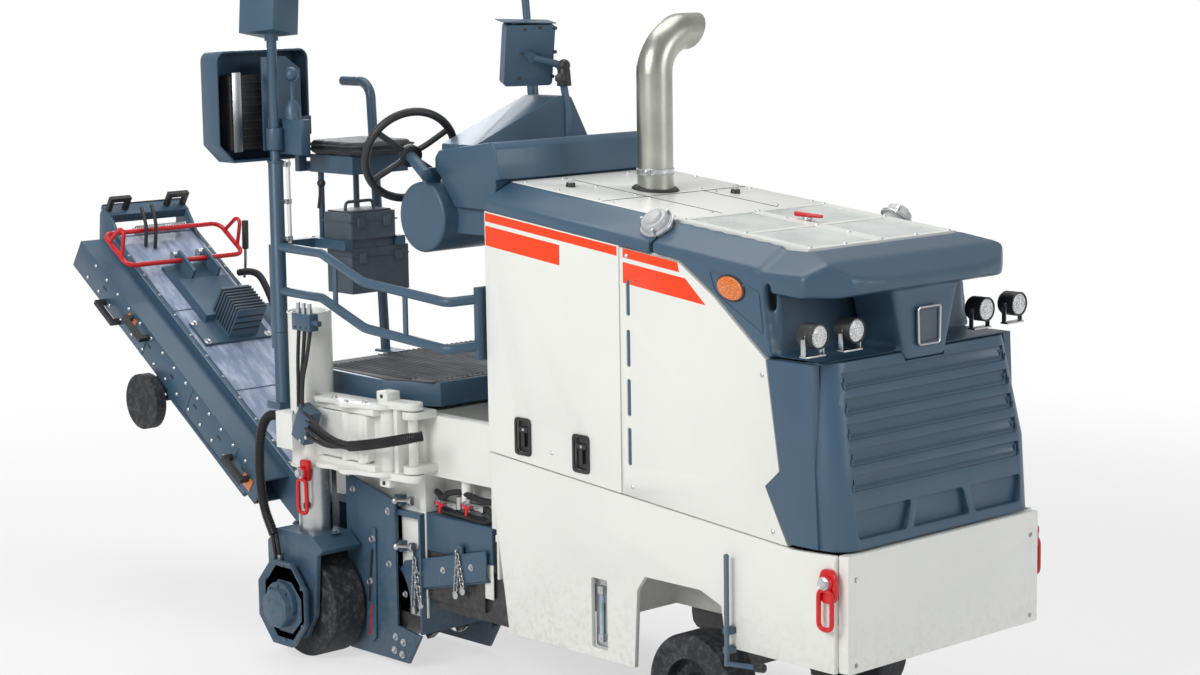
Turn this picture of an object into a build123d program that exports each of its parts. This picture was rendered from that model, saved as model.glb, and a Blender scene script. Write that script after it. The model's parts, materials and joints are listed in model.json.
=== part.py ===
"""Compact cold planer on four solid-tyred wheels, with a rear loading conveyor.

Millimetres, +Z up, +X forward, +Y to the machine's left. All sizes below are given in the
machine's own datum: X = 0 at the front face of the ballast plate, Y = 0 on the centre line,
Z = 0 on the ground. Each piece is shifted once, when it is written, so that the row's origin
is the middle of the machine's footprint.
"""
import math
import os

from build123d import *

# ---------------------------------------------------------------- overall sizes
front_reach = 2380          # ballast plate's front face, ahead of the row's origin
line_offset = 125            # centre line, to the left of the row's origin
half_width = 540            # centre line to the outer face of doors and side panels
skin = 40                   # a door or side panel, as thick as the whole panel
gap = 5                     # shut line between panels
hinge_gap = 0.6             # between a door and the rim that hinges it

# ---------------------------------------------------------------- hood and panels
body_rear = -1840           # rear edge of doors, rims and bulkhead
door_split = -1090          # shut line between door and fixed side panel
ledge_rear = 968            # ledge height at the body's rear edge
ledge_slope = 0.083         # the ledge falls towards the front, mm per mm
shoulder_rear = 1908        # top edge of the doors at the rear
shoulder_slope = 0.107
hood_rear = 2012            # hood top at the rear
hood_slope = 0.098
hood_half = 400             # half width of the flat hood top
hood_plate = 22
rim_lip = 42                # upright part of the rim above the doors
hatch_rear = -930           # rear edge of the grille hatch, its hinge line
hatch_front = -285
nose_x = -60                # front edge of the visor
visor_low = 1705            # underside of the visor
shelf_z = 1487              # ledge that carries the work lights
pocket_x = -335             # back of the light pockets
latch_spots = ((-1635, 1057), (-1310, 1030))    # middles (x, z) of a door's two latches
lamp_places = (352, 540)    # work lights, from the centre line
lamp_z = 1590
lamp_radius = 42

# ---------------------------------------------------------------- front end
plate_thick = 45
plate_half = 520
plate_low = 428
plate_high = 842
cowl_low = 850
cowl_side_x = -215          # where the cowl's corner meets its cheeks
cowl_corner = 90

# ---------------------------------------------------------------- chassis
belly_z = 260
side_thick = 20
arch_rear = -1030
arch_front = -560
arch_top = 615
rail_half = 230
rail_size = (90, 150)       # width and height of the long chassis rails
rail_low = 450
gauge_slot = ((-1222, 432), (86, 268))  # middle (x, z) and size of the slot in the side plates

# ---------------------------------------------------------------- wheels
tyre_radius = 210
tyre_width = 150
bore_radius = 118           # where the tyre is bonded to the rim
front_axle_x = -800
front_wheel_y = 415
kingpin_y = 300
kingpin_radius = 22
lug_radius = 32             # axle ends round the kingpins
seat_gap = 0.3              # between a piece and what carries it
steer_limit = 25
rear_radius = 220
rear_width = 160
hub_radius = 60
stub_radius = 30
stub_clear = 0.4            # running clearance at stubs, pins, sleeves and guides

# ---------------------------------------------------------------- rear right leg
leg_x = -2835
leg_y = -645
leg_travel = 110            # stroke of both rear legs
column_radius = 70
sleeve_radius = 90
sleeve_top = 1440
carrier_low = 800
carrier_high = 1122
cheek_plate = 30
carrier_pivot = (-2370, -612)
link_pivot = (-2245, -590)
pivot_radius = 42
pin_radius = 20
yoke_low = 455
yoke_high = 530
yoke_half = 185
motor_reach = 858           # outer face of the wheel motor, from the centre line

hose_block = ((-2900, -2790), (-785, -725), (885, 1035))    # clamp on the sleeve
union = ((-2958, -2896), (-792, -760), (350, 385))          # hose union on the yoke
conduit_radius = 21
hose_radius = 8

# ---------------------------------------------------------------- rear left leg
left_leg_x = -2570
left_leg_y = 395
left_guide_top = 1150

# ---------------------------------------------------------------- milling unit
drum_x = -2560
drum_z = 262
drum_radius = 185
drum_length = 340
drum_right = -522           # right end of the drum
housing_x = (-2835, -2290)
housing_high = 640
left_plate_y = drum_right + drum_length + 38
side_plate_y = -536         # inner face of the right side plate
side_plate_thick = 14
side_lift = 20              # side plates and scraper stay this far off the ground

# ---------------------------------------------------------------- rear frame
frame_front = -1852         # rear face of the bulkhead
frame_rear = -2880
frame_low = 650
frame_high = 1060
frame_half = 500
hanger_rear = -2925         # rear face of the hanger that carries the conveyor
recess_x = (-2290, -1880)   # valve recess in the frame's right side
recess_top = 812
recess_depth = 110
well_x = (-2300, -1895)     # well for tank and pump in the frame's top
well_side = 60
well_depth = 180

# ---------------------------------------------------------------- operator's station
deck_z = 1180
deck_front = -2262
deck_rear = -3040
deck_skirt = 100
mast_x = -3100
mast_y = -600
mast_radius = 31
mast_top_radius = 21
mast_step = 2040
mast_high = 2560
hoop_x = -3100
hoop_y = -45
hoop_top = 2345
shelf_y = (-440, -120)      # outer sides of the shelf under the seat
seat_posts = [(-3095, -370), (-3095, -185)]
tube_radius = 21
shelf_bar_z = 1690
rail_radius = 19            # guard rails
rail_drop = 184             # the lower rail is this far below the upper one
left_rail_y = 570
seat_x = (-3140, -2760)
seat_y = (-443, -90)
seat_z = (2060, 2120)
dash_low = 1900
console_ridge = 2165
cabinet_x = (-3330, -3215)
cabinet_y = (-800, -330)
cabinet_z = (2035, 2500)
pod_x = -2250
pod_y = (-515, -120)
pod_z = 1855
pod_radius = 140
steer_hub = (-2378, -462, 2092)
steer_normal = (-0.887, 0.30, 0.353)
steer_radius = 188
steer_grip = 14
exhaust_x = -1450
exhaust_radius = 70
exhaust_top = 2545

# ---------------------------------------------------------------- conveyor
belt_slope = 34             # degrees, as parked
belt_y = -220
belt_pivot = (-3005, 413.5)
slew_x = belt_pivot[0]
belt_half = 175
trough_half = 205
beam_out = 355
beam_start = 376            # the wide beams start this far up the slope
beam_ends = {1: 2049.5, -1: 1480}      # and end here, right and left
beam_low = -100
beam_high = 80
boom_length = 2050
head_cheek = [(1880, 78), (2030, -78), (2072, -40), (2150, 108), (2150, 150), (2075, 150)]
head_plate = (2078, 2158, 142, 154)    # along and above the slope
head_handles = (-160, 160)
cover_w = 92
cart_wheel = (1216, -222, 125, 50)     # along the slope, off the slope, radius, width
cart_axle = 13
foot_inner = 180            # plates that the conveyor pivots on
foot_thick = 18
ear_inner = 224             # the slew bracket's ears, outside the trough
roller_first = 40           # the lower roller, this far up the slope
roller_level = -25          # and the rollers' axes, off the slope
roller_radius = 44
bar_low = (1720, 150)       # along and above the slope, of the push bar's two long runs
bar_high = (1955, 150)
bar_half = 320
bar_radius = 11
loop_top = 305
handle_places = (           # along, above, side of the machine (1 = right)
    (1456, 5, 1), (1676, -80, 1), (536, -30, 1), (1300, -60, -1), (536, -30, -1))


# ================================================================ helpers
def span_box(x, y, z, mode=Mode.ADD):
    """A box between two values on each axis, added to the part being built."""
    with Locations(((x[0] + x[1]) / 2, (y[0] + y[1]) / 2, (z[0] + z[1]) / 2)):
        return Box(abs(x[1] - x[0]), abs(y[1] - y[0]), abs(z[1] - z[0]), mode=mode)


def upright_round(x, y, z_low, z_high, radius, mode=Mode.ADD):
    """A vertical round bar, boss or bore between two heights."""
    with Locations((x, y, (z_low + z_high) / 2)):
        Cylinder(radius, z_high - z_low, mode=mode)


def side_plane(y, x=0, z=0):
    """A plane that faces the machine's right, with its origin at a point."""
    return Plane(origin=(x, y, z), x_dir=(1, 0, 0), z_dir=(0, -1, 0))


def upright_plate(outline, y_from, y_to):
    """A plate standing along the machine: an outline of (x, z) points between two y values."""
    with BuildPart() as plate:
        with BuildSketch(Plane.XZ.offset(-max(y_from, y_to))):
            with BuildLine():
                Polyline(*outline, close=True)
            make_face()
        extrude(amount=abs(y_to - y_from))
    return plate.part


def bent_tube(points, bends, radius, wall=0):
    """A round tube along straight runs joined by tangent arcs."""
    with BuildPart() as tube:
        with BuildLine() as route:
            if bends:
                FilletPolyline(*points, radius=bends)
            else:
                Polyline(*points)
        with BuildSketch(Plane(origin=route.line @ 0, z_dir=route.line % 0)):
            Circle(radius)
            if wall:
                Circle(radius - wall, mode=Mode.SUBTRACT)
        sweep(path=route.line)
    return tube.part


def hose(points, radius):
    """A hose along its points, with each arc as large as its two runs allow."""
    runs = [Vector(*end) - Vector(*start) for start, end in zip(points, points[1:])]
    bends = [round(0.45 * min(before.length, after.length)
                   / math.tan(math.radians(before.get_angle(after) / 2)), 1)
             for before, after in zip(runs, runs[1:])]
    print("hose radius", radius, "arcs", bends)
    return bent_tube(points, bends, radius)


def write(piece, name):
    """Shift a finished piece to the row's origin, label it and write its STEP file."""
    placed = piece.moved(Location((front_reach, line_offset, 0)))
    placed.label = name
    export_step(placed, f"parts/{name}.step")


def ledge(x):
    return ledge_rear - (x - body_rear) * ledge_slope


def shoulder(x):
    return shoulder_rear - (x - body_rear) * shoulder_slope


def hood(x):
    return hood_rear - (x - body_rear) * hood_slope


os.makedirs("parts", exist_ok=True)

# ================================================================ chassis
chassis_outline = [
    (body_rear - 5, ledge(body_rear)), (-1772, 473), (-1739, belly_z), (arch_rear - 5, belly_z),
    (-1017, 559), (-975, arch_top), (-690, arch_top), (-585, 575), (arch_front, 430),
    (-plate_thick, plate_low), (-plate_thick, plate_high), (-235, ledge(-235)),
]
with BuildPart() as chassis:
    for y_outer in (half_width, -half_width + side_thick):
        add(upright_plate(chassis_outline, y_outer - side_thick, y_outer))
    for side in (-1, 1):
        span_box((body_rear, -plate_thick), (side * rail_half - rail_size[0] / 2,
                 side * rail_half + rail_size[0] / 2), (rail_low, rail_low + rail_size[1]))
    for x_mid, width in ((-1760, 70), (-1110, 60), (-470, 60), (-90, 90)):
        span_box((x_mid - width / 2, x_mid + width / 2), (-half_width + side_thick,
                 half_width - side_thick), (rail_low, rail_low + rail_size[1]))
    span_box((front_axle_x - 60, front_axle_x + 60), (-60, 60), (372, rail_low))
    span_box((front_axle_x - 60, front_axle_x + 60), (-rail_half, rail_half), (rail_low, rail_low + 60))
    span_box((frame_front, body_rear), (-half_width + skin, half_width - skin),
             (rail_low, shoulder_rear + 20))
    with BuildSketch(side_plane(half_width, *gauge_slot[0])):     # slot in front of the level gauge
        RectangleRounded(*gauge_slot[1], 8)
    extrude(amount=2 * half_width, mode=Mode.SUBTRACT)
write(chassis.part, "chassis")

with BuildPart() as ballast_plate:
    with BuildSketch(Plane.YZ.offset(-plate_thick)):
        with Locations((0, (plate_low + plate_high) / 2)):
            Rectangle(2 * plate_half, plate_high - plate_low)
    extrude(amount=plate_thick)
    fillet(ballast_plate.edges().filter_by(Axis.X), 10)
    with Locations(Plane.YZ.offset(0)):
        with Locations(*[(side * (plate_half - 42), z) for side in (-1, 1)
                         for z in (plate_low + 28, plate_high - 85)]):
            Hole(9, depth=30)
write(ballast_plate.part, "ballast_plate")

with BuildPart() as engine_block:
    span_box((-1640, -860), (-260, 260), (rail_low + rail_size[1], 1480))
write(engine_block.part, "engine_block")

# ================================================================ front axle, knuckles and wheels
def wheel(x, y, z, radius, width, side):
    """A solid tyre bonded to a dished rim; side is the way its dish faces."""
    with BuildPart() as built:
        with BuildSketch(side_plane(y + width / 2, x, z)):
            Circle(radius)
        extrude(amount=width)
        fillet(built.edges().filter_by(GeomType.CIRCLE), 12)
        face_y = y + side * width / 2
        with BuildSketch(side_plane(face_y, x, z)):
            Circle(bore_radius)
            Circle(hub_radius, mode=Mode.SUBTRACT)
        extrude(amount=side * 45, mode=Mode.SUBTRACT)
        with BuildSketch(side_plane(y + width / 2, x, z)):
            Circle(stub_radius + stub_clear)
        extrude(amount=width, mode=Mode.SUBTRACT)
    return built.part


with BuildPart() as front_axle:
    span_box((front_axle_x - 45, front_axle_x + 45), (-kingpin_y + 62, kingpin_y - 62), (250, 340))
    with Locations((front_axle_x, 0, 356)):
        Box(110, 130, 32)
    for side in (-1, 1):
        for low, high in ((120, 160), (290, 330)):
            span_box((front_axle_x - lug_radius, front_axle_x + lug_radius), (side * (kingpin_y - 70),
                     side * kingpin_y), (low, high))
            upright_round(front_axle_x, side * kingpin_y, low, high, lug_radius)
        span_box((front_axle_x - 40, front_axle_x + 40), (side * (kingpin_y - 90),
                 side * (kingpin_y - 62)), (120, 330))
        with Locations((front_axle_x, side * kingpin_y, 225)):
            Cylinder(kingpin_radius, 210)
write(front_axle.part, "front_axle")

for name, side in (("right", -1), ("left", 1)):
    with BuildPart() as knuckle:
        with Locations((front_axle_x, side * kingpin_y, 225)):
            Cylinder(lug_radius + 2, 120)
        with BuildSketch(side_plane(side * kingpin_y, front_axle_x, tyre_radius)):
            Circle(stub_radius)
        extrude(amount=-side * (front_wheel_y + tyre_width / 2 + 8 - kingpin_y))
        with BuildSketch(side_plane(side * (front_wheel_y + tyre_width / 2 + 2), front_axle_x, tyre_radius)):
            Circle(hub_radius - 14)
        extrude(amount=-side * 14)
        with Locations((front_axle_x, side * kingpin_y, 225)):
            Cylinder(kingpin_radius + stub_clear, 130, mode=Mode.SUBTRACT)
    write(knuckle.part, f"steer_knuckle_{name}")
    write(wheel(front_axle_x, side * front_wheel_y, tyre_radius, tyre_radius, tyre_width, side),
          f"front_wheel_{name}")

# ================================================================ hood
side_panel_outline = [
    (door_split + gap / 2, ledge(door_split) + gap), (door_split + gap / 2, shoulder(door_split) - gap),
    (-785, shoulder(-785) - gap), (-608, 1680), (-455, 1560), (-362, shelf_z - 2),
    (-300, 1100), (-368, 1040), (-262, ledge(-262) + gap),
]
flange_outline = [
    (door_split + 60, ledge(door_split) - 15), (door_split + 60, shoulder(door_split + 60)),
    (-800, shoulder(-800)), (-700, 1600), (-500, 1100), (-500, ledge(-500) - 15),
]
with BuildPart() as side_panels:
    for side in (-1, 1):
        add(upright_plate(side_panel_outline, side * half_width, side * (half_width - skin)))
        add(upright_plate(flange_outline, side * (half_width - side_thick), side * (half_width - skin)))
write(side_panels.part, "side_panels")

door_outline = [
    (body_rear + 2, ledge(body_rear) + gap), (body_rear + 2, shoulder(body_rear) - hinge_gap),
    (door_split - gap / 2, shoulder(door_split) - hinge_gap), (door_split - gap / 2, ledge(door_split) + gap),
]
for name, side in (("right", -1), ("left", 1)):
    with BuildPart() as side_door:
        add(upright_plate(door_outline, side * half_width, side * (half_width - skin)))
        for x_mid, z_mid in latch_spots:
            with BuildSketch(side_plane(side * half_width, x_mid, z_mid)):
                RectangleRounded(86, 138, 16)
            extrude(amount=side * 18, mode=Mode.SUBTRACT)
            with BuildSketch(side_plane(side * (half_width - 18), x_mid, z_mid + 22)):
                RectangleRounded(54, 60, 8)
            extrude(amount=-side * 12)
    write(side_door.part, f"side_door_{name}")


def rim_section(x, inner=hood_half):
    """Cross-section of the blue rim above the doors, as (y, z) points for the right-hand side."""
    return [(-half_width, shoulder(x)), (-half_width, shoulder(x) + rim_lip),
            (-inner, hood(x)), (-inner, hood(x) - 3 * hood_plate),
            (-half_width + skin, shoulder(x))]


def rim(x_rear, x_front):
    """The rim between two stations, for the right-hand side."""
    with BuildPart() as built:
        for x in (x_rear, x_front):
            with BuildSketch(Plane.YZ.offset(x)):
                with BuildLine():
                    Polyline(*rim_section(x), close=True)
                make_face()
        loft(ruled=True)
    return built.part


with BuildPart() as hood_rims:
    add(rim(body_rear, hatch_rear - gap))
    mirror(about=Plane.XZ)
write(hood_rims.part, "hood_rims")

visor_cheek = [(-905, shoulder(-905)), (-785, shoulder(-785)), (-608, 1684), (-455, 1564),
               (-360, shelf_z), (pocket_x, shelf_z), (pocket_x - 15, 1563), (pocket_x - 35, 1712),
               (pocket_x - 35, shoulder(-400) + 20), (-905, shoulder(-905) + 20)]
visor_profile = [(hatch_front - 60, visor_low + 8), (hatch_front - 60, hood(hatch_front) - hood_plate - 10),
                 (hatch_front, hood(hatch_front) - hood_plate - 10), (hatch_front, hood(hatch_front)),
                 (-150, 1828), (nose_x, 1760), (nose_x, visor_low + 18), (nose_x - 60, visor_low)]
with BuildPart() as visor:
    add(rim(hatch_rear + gap, hatch_front + 1))
    add(upright_plate(visor_cheek, -half_width, -half_width + skin))
    mirror(about=Plane.XZ)
    add(upright_plate(visor_profile, -half_width, half_width))
    for side in (-1, 1):                # shoulders of the visor fall away to the sides
        with BuildSketch(Plane.YZ.offset(-400)):
            with BuildLine():
                Polyline((side * hood_half, hood(-400) + 40), (side * (half_width + 40), hood(-400) + 40),
                         (side * (half_width + 40), shoulder(-280) + rim_lip - 20),
                         (side * half_width, shoulder(-280) + rim_lip),
                         (side * hood_half, hood(hatch_front) + 1), close=True)
            make_face()
        extrude(amount=500, mode=Mode.SUBTRACT)
        with BuildSketch(Plane.XY.offset(visor_low - 60)):  # front corners swept back
            with BuildLine():
                Polyline((nose_x + 20, side * 250), (nose_x + 20, side * (half_width + 40)),
                         (nose_x - 200, side * (half_width + 40)), (-185, side * half_width),
                         (nose_x - 20, side * 400), (nose_x, side * 250), close=True)
            make_face()
        extrude(amount=400, mode=Mode.SUBTRACT)
    with BuildSketch(Plane.YZ.offset(-300)):                # badge bracket below the visor
        with BuildLine():
            Polyline((-190, visor_low + 40), (190, visor_low + 40), (105, shelf_z - 30),
                     (-105, shelf_z - 30), close=True)
        make_face()
    extrude(amount=205)
    span_box((hatch_front - 45, hatch_front - 15), (-200, 200),      # rest for the hatch's front edge
             (visor_low + 40, hood(hatch_front) - hood_plate - seat_gap))
    shelf_half = half_width - skin
    span_box((pocket_x - 20, -115), (-shelf_half, shelf_half), (shelf_z, shelf_z + 8))
    span_box((pocket_x - 20, pocket_x), (-shelf_half, shelf_half), (shelf_z + 8, visor_low + 20))
write(visor.part, "visor")

with BuildPart() as hood_top:
    add(upright_plate([(body_rear, hood(body_rear)), (hatch_rear - gap, hood(hatch_rear - gap)),
                       (hatch_rear - gap, hood(hatch_rear - gap) - hood_plate),
                       (body_rear, hood(body_rear) - hood_plate)],
                     -hood_half + seat_gap, hood_half - seat_gap))
    with Locations((exhaust_x, 0, hood(exhaust_x))):
        Cylinder(exhaust_radius + 12, 160, mode=Mode.SUBTRACT)
write(hood_top.part, "hood_top")

with BuildPart() as grille_hatch:
    add(upright_plate([(hatch_rear, hood(hatch_rear)), (hatch_front - gap, hood(hatch_front)),
                       (hatch_front - gap, hood(hatch_front) - hood_plate),
                       (hatch_rear, hood(hatch_rear) - hood_plate)], -hood_half + gap, hood_half - gap))
    slope = Plane(origin=(hatch_rear, 0, hood(hatch_rear)), x_dir=(1, 0, -hood_slope),
                  z_dir=(hood_slope, 0, 1))
    with BuildSketch(slope):
        with Locations(*[(along, across) for along in (165, 475) for across in (-190, 190)]):
            Rectangle(285, 330)
    extrude(amount=-8, mode=Mode.SUBTRACT)
    for side in (-1, 1):                # hinge straps below the hood top
        add(upright_plate([(hatch_rear - 60, hood(hatch_rear - 60) - hood_plate - seat_gap),
                           (hatch_rear + 50, hood(hatch_rear + 50) - hood_plate),
                           (hatch_rear + 50, hood(hatch_rear + 50) - hood_plate - 8),
                           (hatch_rear - 60, hood(hatch_rear - 60) - hood_plate - 8)],
                          side * 250, side * 310))
write(grille_hatch.part, "grille_hatch")

with BuildPart() as exhaust_stack:
    add(bent_tube([(exhaust_x, 0, 1480), (exhaust_x, 0, exhaust_top - 40),
                   (exhaust_x, 120, exhaust_top + 30), (exhaust_x, 260, exhaust_top + 30)],
                  [150, 95], exhaust_radius, wall=4))
    with BuildSketch(Plane.YZ.offset(exhaust_x + 100)):     # the outlet is cut on a slant
        with BuildLine():
            Polyline((165, exhaust_top - 60), (245, exhaust_top + 120), (300, exhaust_top + 120),
                     (300, exhaust_top - 60), close=True)
        make_face()
    extrude(amount=-200, mode=Mode.SUBTRACT)
write(exhaust_stack.part, "exhaust_stack")

# ================================================================ front cowl
cowl_stations = [            # height, front face x, half width
    (cowl_low, -18, 528), (1120, -42, 534), (shelf_z, -108, 496)]
cheek_outline = [(-255, cowl_low + 2), (-362, 1042), (-294, 1101), (-355, shelf_z), (-150, shelf_z),
                 (-120, cowl_low + 2)]
with BuildPart() as front_cowl:
    for height, face_x, half in cowl_stations:
        with BuildSketch(Plane.XY.offset(height)):
            with Locations(((face_x + cowl_side_x) / 2, 0)):
                outer = Rectangle(face_x - cowl_side_x, 2 * half)
            fillet(outer.vertices().group_by(Axis.X)[-1], cowl_corner)
    loft(ruled=True)
    for side in (-1, 1):
        add(upright_plate(cheek_outline, side * half_width, side * (half_width - skin)))
    add(visor.part, mode=Mode.SUBTRACT)
write(front_cowl.part, "front_cowl")

with BuildPart() as work_lights:
    for side in (-1, 1):
        span_box((pocket_x, -170), (side * 270, side * (half_width - 12)), (shelf_z + 8, shelf_z + 14))
        for y_mid in lamp_places:
            span_box((-190, -170), (side * (y_mid - 34), side * (y_mid + 34)), (shelf_z + 14, shelf_z + 40))
            with BuildSketch(Plane.YZ.offset(-190)):
                with Locations((side * y_mid, lamp_z)):
                    Circle(lamp_radius)
            extrude(amount=80)
            span_box((-190, -178), (side * (y_mid - 20), side * (y_mid + 20)), (shelf_z + 40, lamp_z - 25))
write(work_lights.part, "work_lights")

with BuildPart() as lifting_eyes:
    for side in (-1, 1):
        face_y = side * half_width
        with BuildSketch(side_plane(face_y, -62, 752)):
            Circle(24)
        extrude(amount=-side * 52)
        with BuildSketch(side_plane(face_y + side * 8, -62, 740)):
            SlotOverall(110, 64, rotation=90)
        extrude(amount=-side * 22)
        ring_y = face_y + side * 19
        with BuildSketch(side_plane(ring_y - 9, -62, 655)):
            SlotOverall(150, 78, rotation=90)
            SlotOverall(114, 42, rotation=90, mode=Mode.SUBTRACT)
        extrude(amount=-18)
write(lifting_eyes.part, "lifting_eyes")

# ================================================================ dashboard and steering
with BuildPart() as dashboard:
    with BuildSketch(Plane.XZ.offset(-470)):
        with BuildLine():
            Polyline((frame_front, dash_low), (frame_front, hood_rear + 8), (body_rear + 12, hood_rear + 8),
                     (body_rear - 6, console_ridge - 25), (body_rear - 28, console_ridge),
                     (-2190, console_ridge - 45), (-2215, console_ridge - 75), (-2215, 2040),
                     (-2190, 2025), (-2100, dash_low), close=True)
        make_face()
    extrude(amount=940)
    with BuildSketch(Plane.YZ.offset(-2190)):               # lectern with the gauges
        with BuildLine():
            Polyline((-455, console_ridge - 60), (-455, console_ridge - 20), (-20, console_ridge + 150),
                     (60, console_ridge + 150), (175, console_ridge - 60), close=True)
        make_face()
    extrude(amount=200)
    chamfer(dashboard.edges().filter_by(Axis.X).group_by(Axis.Z)[-1], 8)
write(dashboard.part, "dashboard")

with BuildPart() as display_unit:
    screen = Plane(origin=(-2085, -75, 2478), x_dir=(0.42, 1, 0), z_dir=(1, -0.42, -0.25))
    with BuildSketch(screen):
        RectangleRounded(205, 250, 16)
    extrude(amount=-58)
    with BuildSketch(screen):
        Circle(20)
    extrude(amount=46)
    add(bent_tube([(-2045, -92, 2468), (-2010, 20, 2440), (-1990, 40, console_ridge + 100),
                   (-1990, 40, console_ridge - 30)], [30, 30], 15))
    hood_plane = Plane(origin=(-2105, -75, 2612), x_dir=(0.42, 1, 0), z_dir=(0.1, 0, 1))
    with BuildSketch(hood_plane):
        Rectangle(220, 110)
    extrude(amount=4)
    span_box((-2108, -2096), (-150, -20), (2580, 2616))
    add(dashboard.part, mode=Mode.SUBTRACT)
write(display_unit.part, "display_unit")

with BuildPart() as steering_pod:
    with BuildSketch(side_plane(pod_y[1], pod_x, pod_z)):
        Circle(pod_radius)
    extrude(amount=pod_y[1] - pod_y[0])
    fillet(steering_pod.edges().filter_by(GeomType.CIRCLE).group_by(Axis.Y)[0], 12)
    span_box((pod_x + 60, frame_front), (-440, -200), (pod_z - 60, dash_low))
    span_box((-2240, -2216), (-515, -440), (1960, 2050))
    column_plane = Plane(origin=steer_hub, z_dir=steer_normal)
    with BuildSketch(column_plane.offset(-16 - stub_clear)):
        Circle(24)
    extrude(amount=-175)
write(steering_pod.part, "steering_pod")

with BuildPart() as steering_wheel:
    with BuildSketch(Plane(origin=column_plane.origin, x_dir=column_plane.x_dir, z_dir=-column_plane.y_dir)):
        with Locations((steer_radius - steer_grip, 0)):
            Circle(steer_grip)
    revolve(axis=Axis(column_plane.origin, column_plane.z_dir))
    with BuildSketch(column_plane.offset(-16)):
        Circle(44)
    extrude(amount=34)
    with BuildSketch(column_plane.offset(-6)):
        with PolarLocations(0, 3, start_angle=90):
            with Locations((95, 0)):
                Rectangle(170, 30)
    extrude(amount=10)
write(steering_wheel.part, "steering_wheel")

# ================================================================ operator's platform
deck_outline = [(deck_front, -430), (-2480, -555), (-2940, -515), (deck_rear, -470), (deck_rear, 500),
                (-1900, 500), (-1900, -150), (deck_front, -150)]
with BuildPart() as platform_deck:
    with BuildSketch(Plane.XY.offset(deck_z - deck_skirt)):
        with BuildLine():
            Polyline(*deck_outline, close=True)
        make_face()
    extrude(amount=deck_skirt)
    with BuildSketch(Plane.XY.offset(deck_z - deck_skirt)):
        with BuildLine():
            Polyline(*deck_outline, close=True)
        make_face()
        offset(amount=-12, mode=Mode.REPLACE)
    extrude(amount=deck_skirt - 12, mode=Mode.SUBTRACT)
    span_box((-2870, -2800), (-300, 300), (frame_high, deck_z - 12))
    span_box((-1990, -1930), (-100, 450), (frame_high, deck_z - 12))
write(platform_deck.part, "platform_deck")

with BuildPart() as seat_frame:
    span_box((hoop_x - 25, hoop_x + 110), (hoop_y - 40, hoop_y + 40), (deck_z, deck_z + 10))
    add(bent_tube([(hoop_x, hoop_y, deck_z + 5), (hoop_x - 60, hoop_y, hoop_top),
                   (hoop_x - 250, hoop_y, hoop_top)], [75], tube_radius))
    span_box((hoop_x - 30, hoop_x + 60), (shelf_y[0] + 40, hoop_y), (shelf_bar_z - 20, shelf_bar_z + 20))
    for y_bar in (shelf_y[0], shelf_y[1] - 40):
        span_box((hoop_x + 40, -2850), (y_bar, y_bar + 40), (shelf_bar_z - 20, shelf_bar_z + 20))
    for x_post, y_post in seat_posts:
        with Locations((x_post, y_post, (shelf_bar_z + seat_z[0] - 60) / 2)):
            Cylinder(13, seat_z[0] - 60 - shelf_bar_z + 30)
    span_box((seat_x[0] + 30, seat_x[1] - 60), (seat_y[0] + 30, seat_y[1] - 30), (seat_z[0] - 75, seat_z[0]))
write(seat_frame.part, "seat_frame")

with BuildPart() as seat_cushion:
    span_box(seat_x, seat_y, (seat_z[0] + 0.3, seat_z[1]))
    fillet(seat_cushion.edges().filter_by(Axis.Z), 70)
    fillet(seat_cushion.edges().group_by(Axis.Z)[-1], 20)
write(seat_cushion.part, "seat_cushion")

with BuildPart() as control_cabinet:
    with BuildSketch(Plane.YZ.offset(cabinet_x[0])):
        with BuildLine():
            Polyline((cabinet_y[0], cabinet_z[1]), (cabinet_y[0], cabinet_z[0] + 75),
                     (cabinet_y[0] + 75, cabinet_z[0]), (cabinet_y[1], cabinet_z[0]),
                     (cabinet_y[1], cabinet_z[1]), close=True)
        make_face()
    extrude(amount=cabinet_x[1] - cabinet_x[0])
    fillet(control_cabinet.edges().filter_by(Axis.X).group_by(Axis.Z)[-1], 45)
    front = control_cabinet.faces().sort_by(Axis.X)[-1]
    offset(amount=-10, openings=front)
write(control_cabinet.part, "control_cabinet")

with BuildPart() as armrest_console:
    span_box((-3185, -2960), (-568, -520), (2070, 2215))
    with BuildSketch(Plane.XY.offset(2090)):                # clamp round the mast
        with Locations((mast_x, mast_y)):
            Circle(mast_top_radius + 14)
        with Locations((mast_x, mast_y + 30)):
            Rectangle(40, 30)
        with Locations((mast_x, mast_y)):
            Circle(mast_top_radius + seat_gap, mode=Mode.SUBTRACT)
    extrude(amount=90)
    with BuildSketch(Plane.YZ.offset(-3195)):
        with BuildLine():
            Polyline((-592, 2080), (-592, 2470), (-470, 2470), (-395, 2415), (-395, 2215), (-345, 2215),
                     (-345, 2140), (-420, 2080), close=True)
        make_face()
    extrude(amount=10)
    span_box((cabinet_x[0] + 10 + seat_gap, -3195), (-560, -440), (2120, 2240))
    span_box((-3200, seat_x[0] - 12), (-516, -385), (2085, 2205))
    with Locations((-3050, -540, 2236)):
        Cylinder(34, 42)
    with Locations((-3050, -540, 2276)):
        Cone(34, 16, 38)
    with Locations((-3050, -540, 2345)):
        Cylinder(9, 100)
    with Locations((-3050, -540, 2400)):
        Sphere(30)
    span_box((seat_x[0] - 42, seat_x[0] - 12), (-440, -400), (seat_z[0] - 75, 2095))
    span_box((seat_x[0] - 42, seat_x[0] + 30), (-400, -360), (seat_z[0] - 75, seat_z[0] - 35))
    span_box((seat_x[0] - 42, seat_x[0] - 12), (-440, -360), (seat_z[0] - 75, seat_z[0] - 35))
write(armrest_console.part, "armrest_console")

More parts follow.
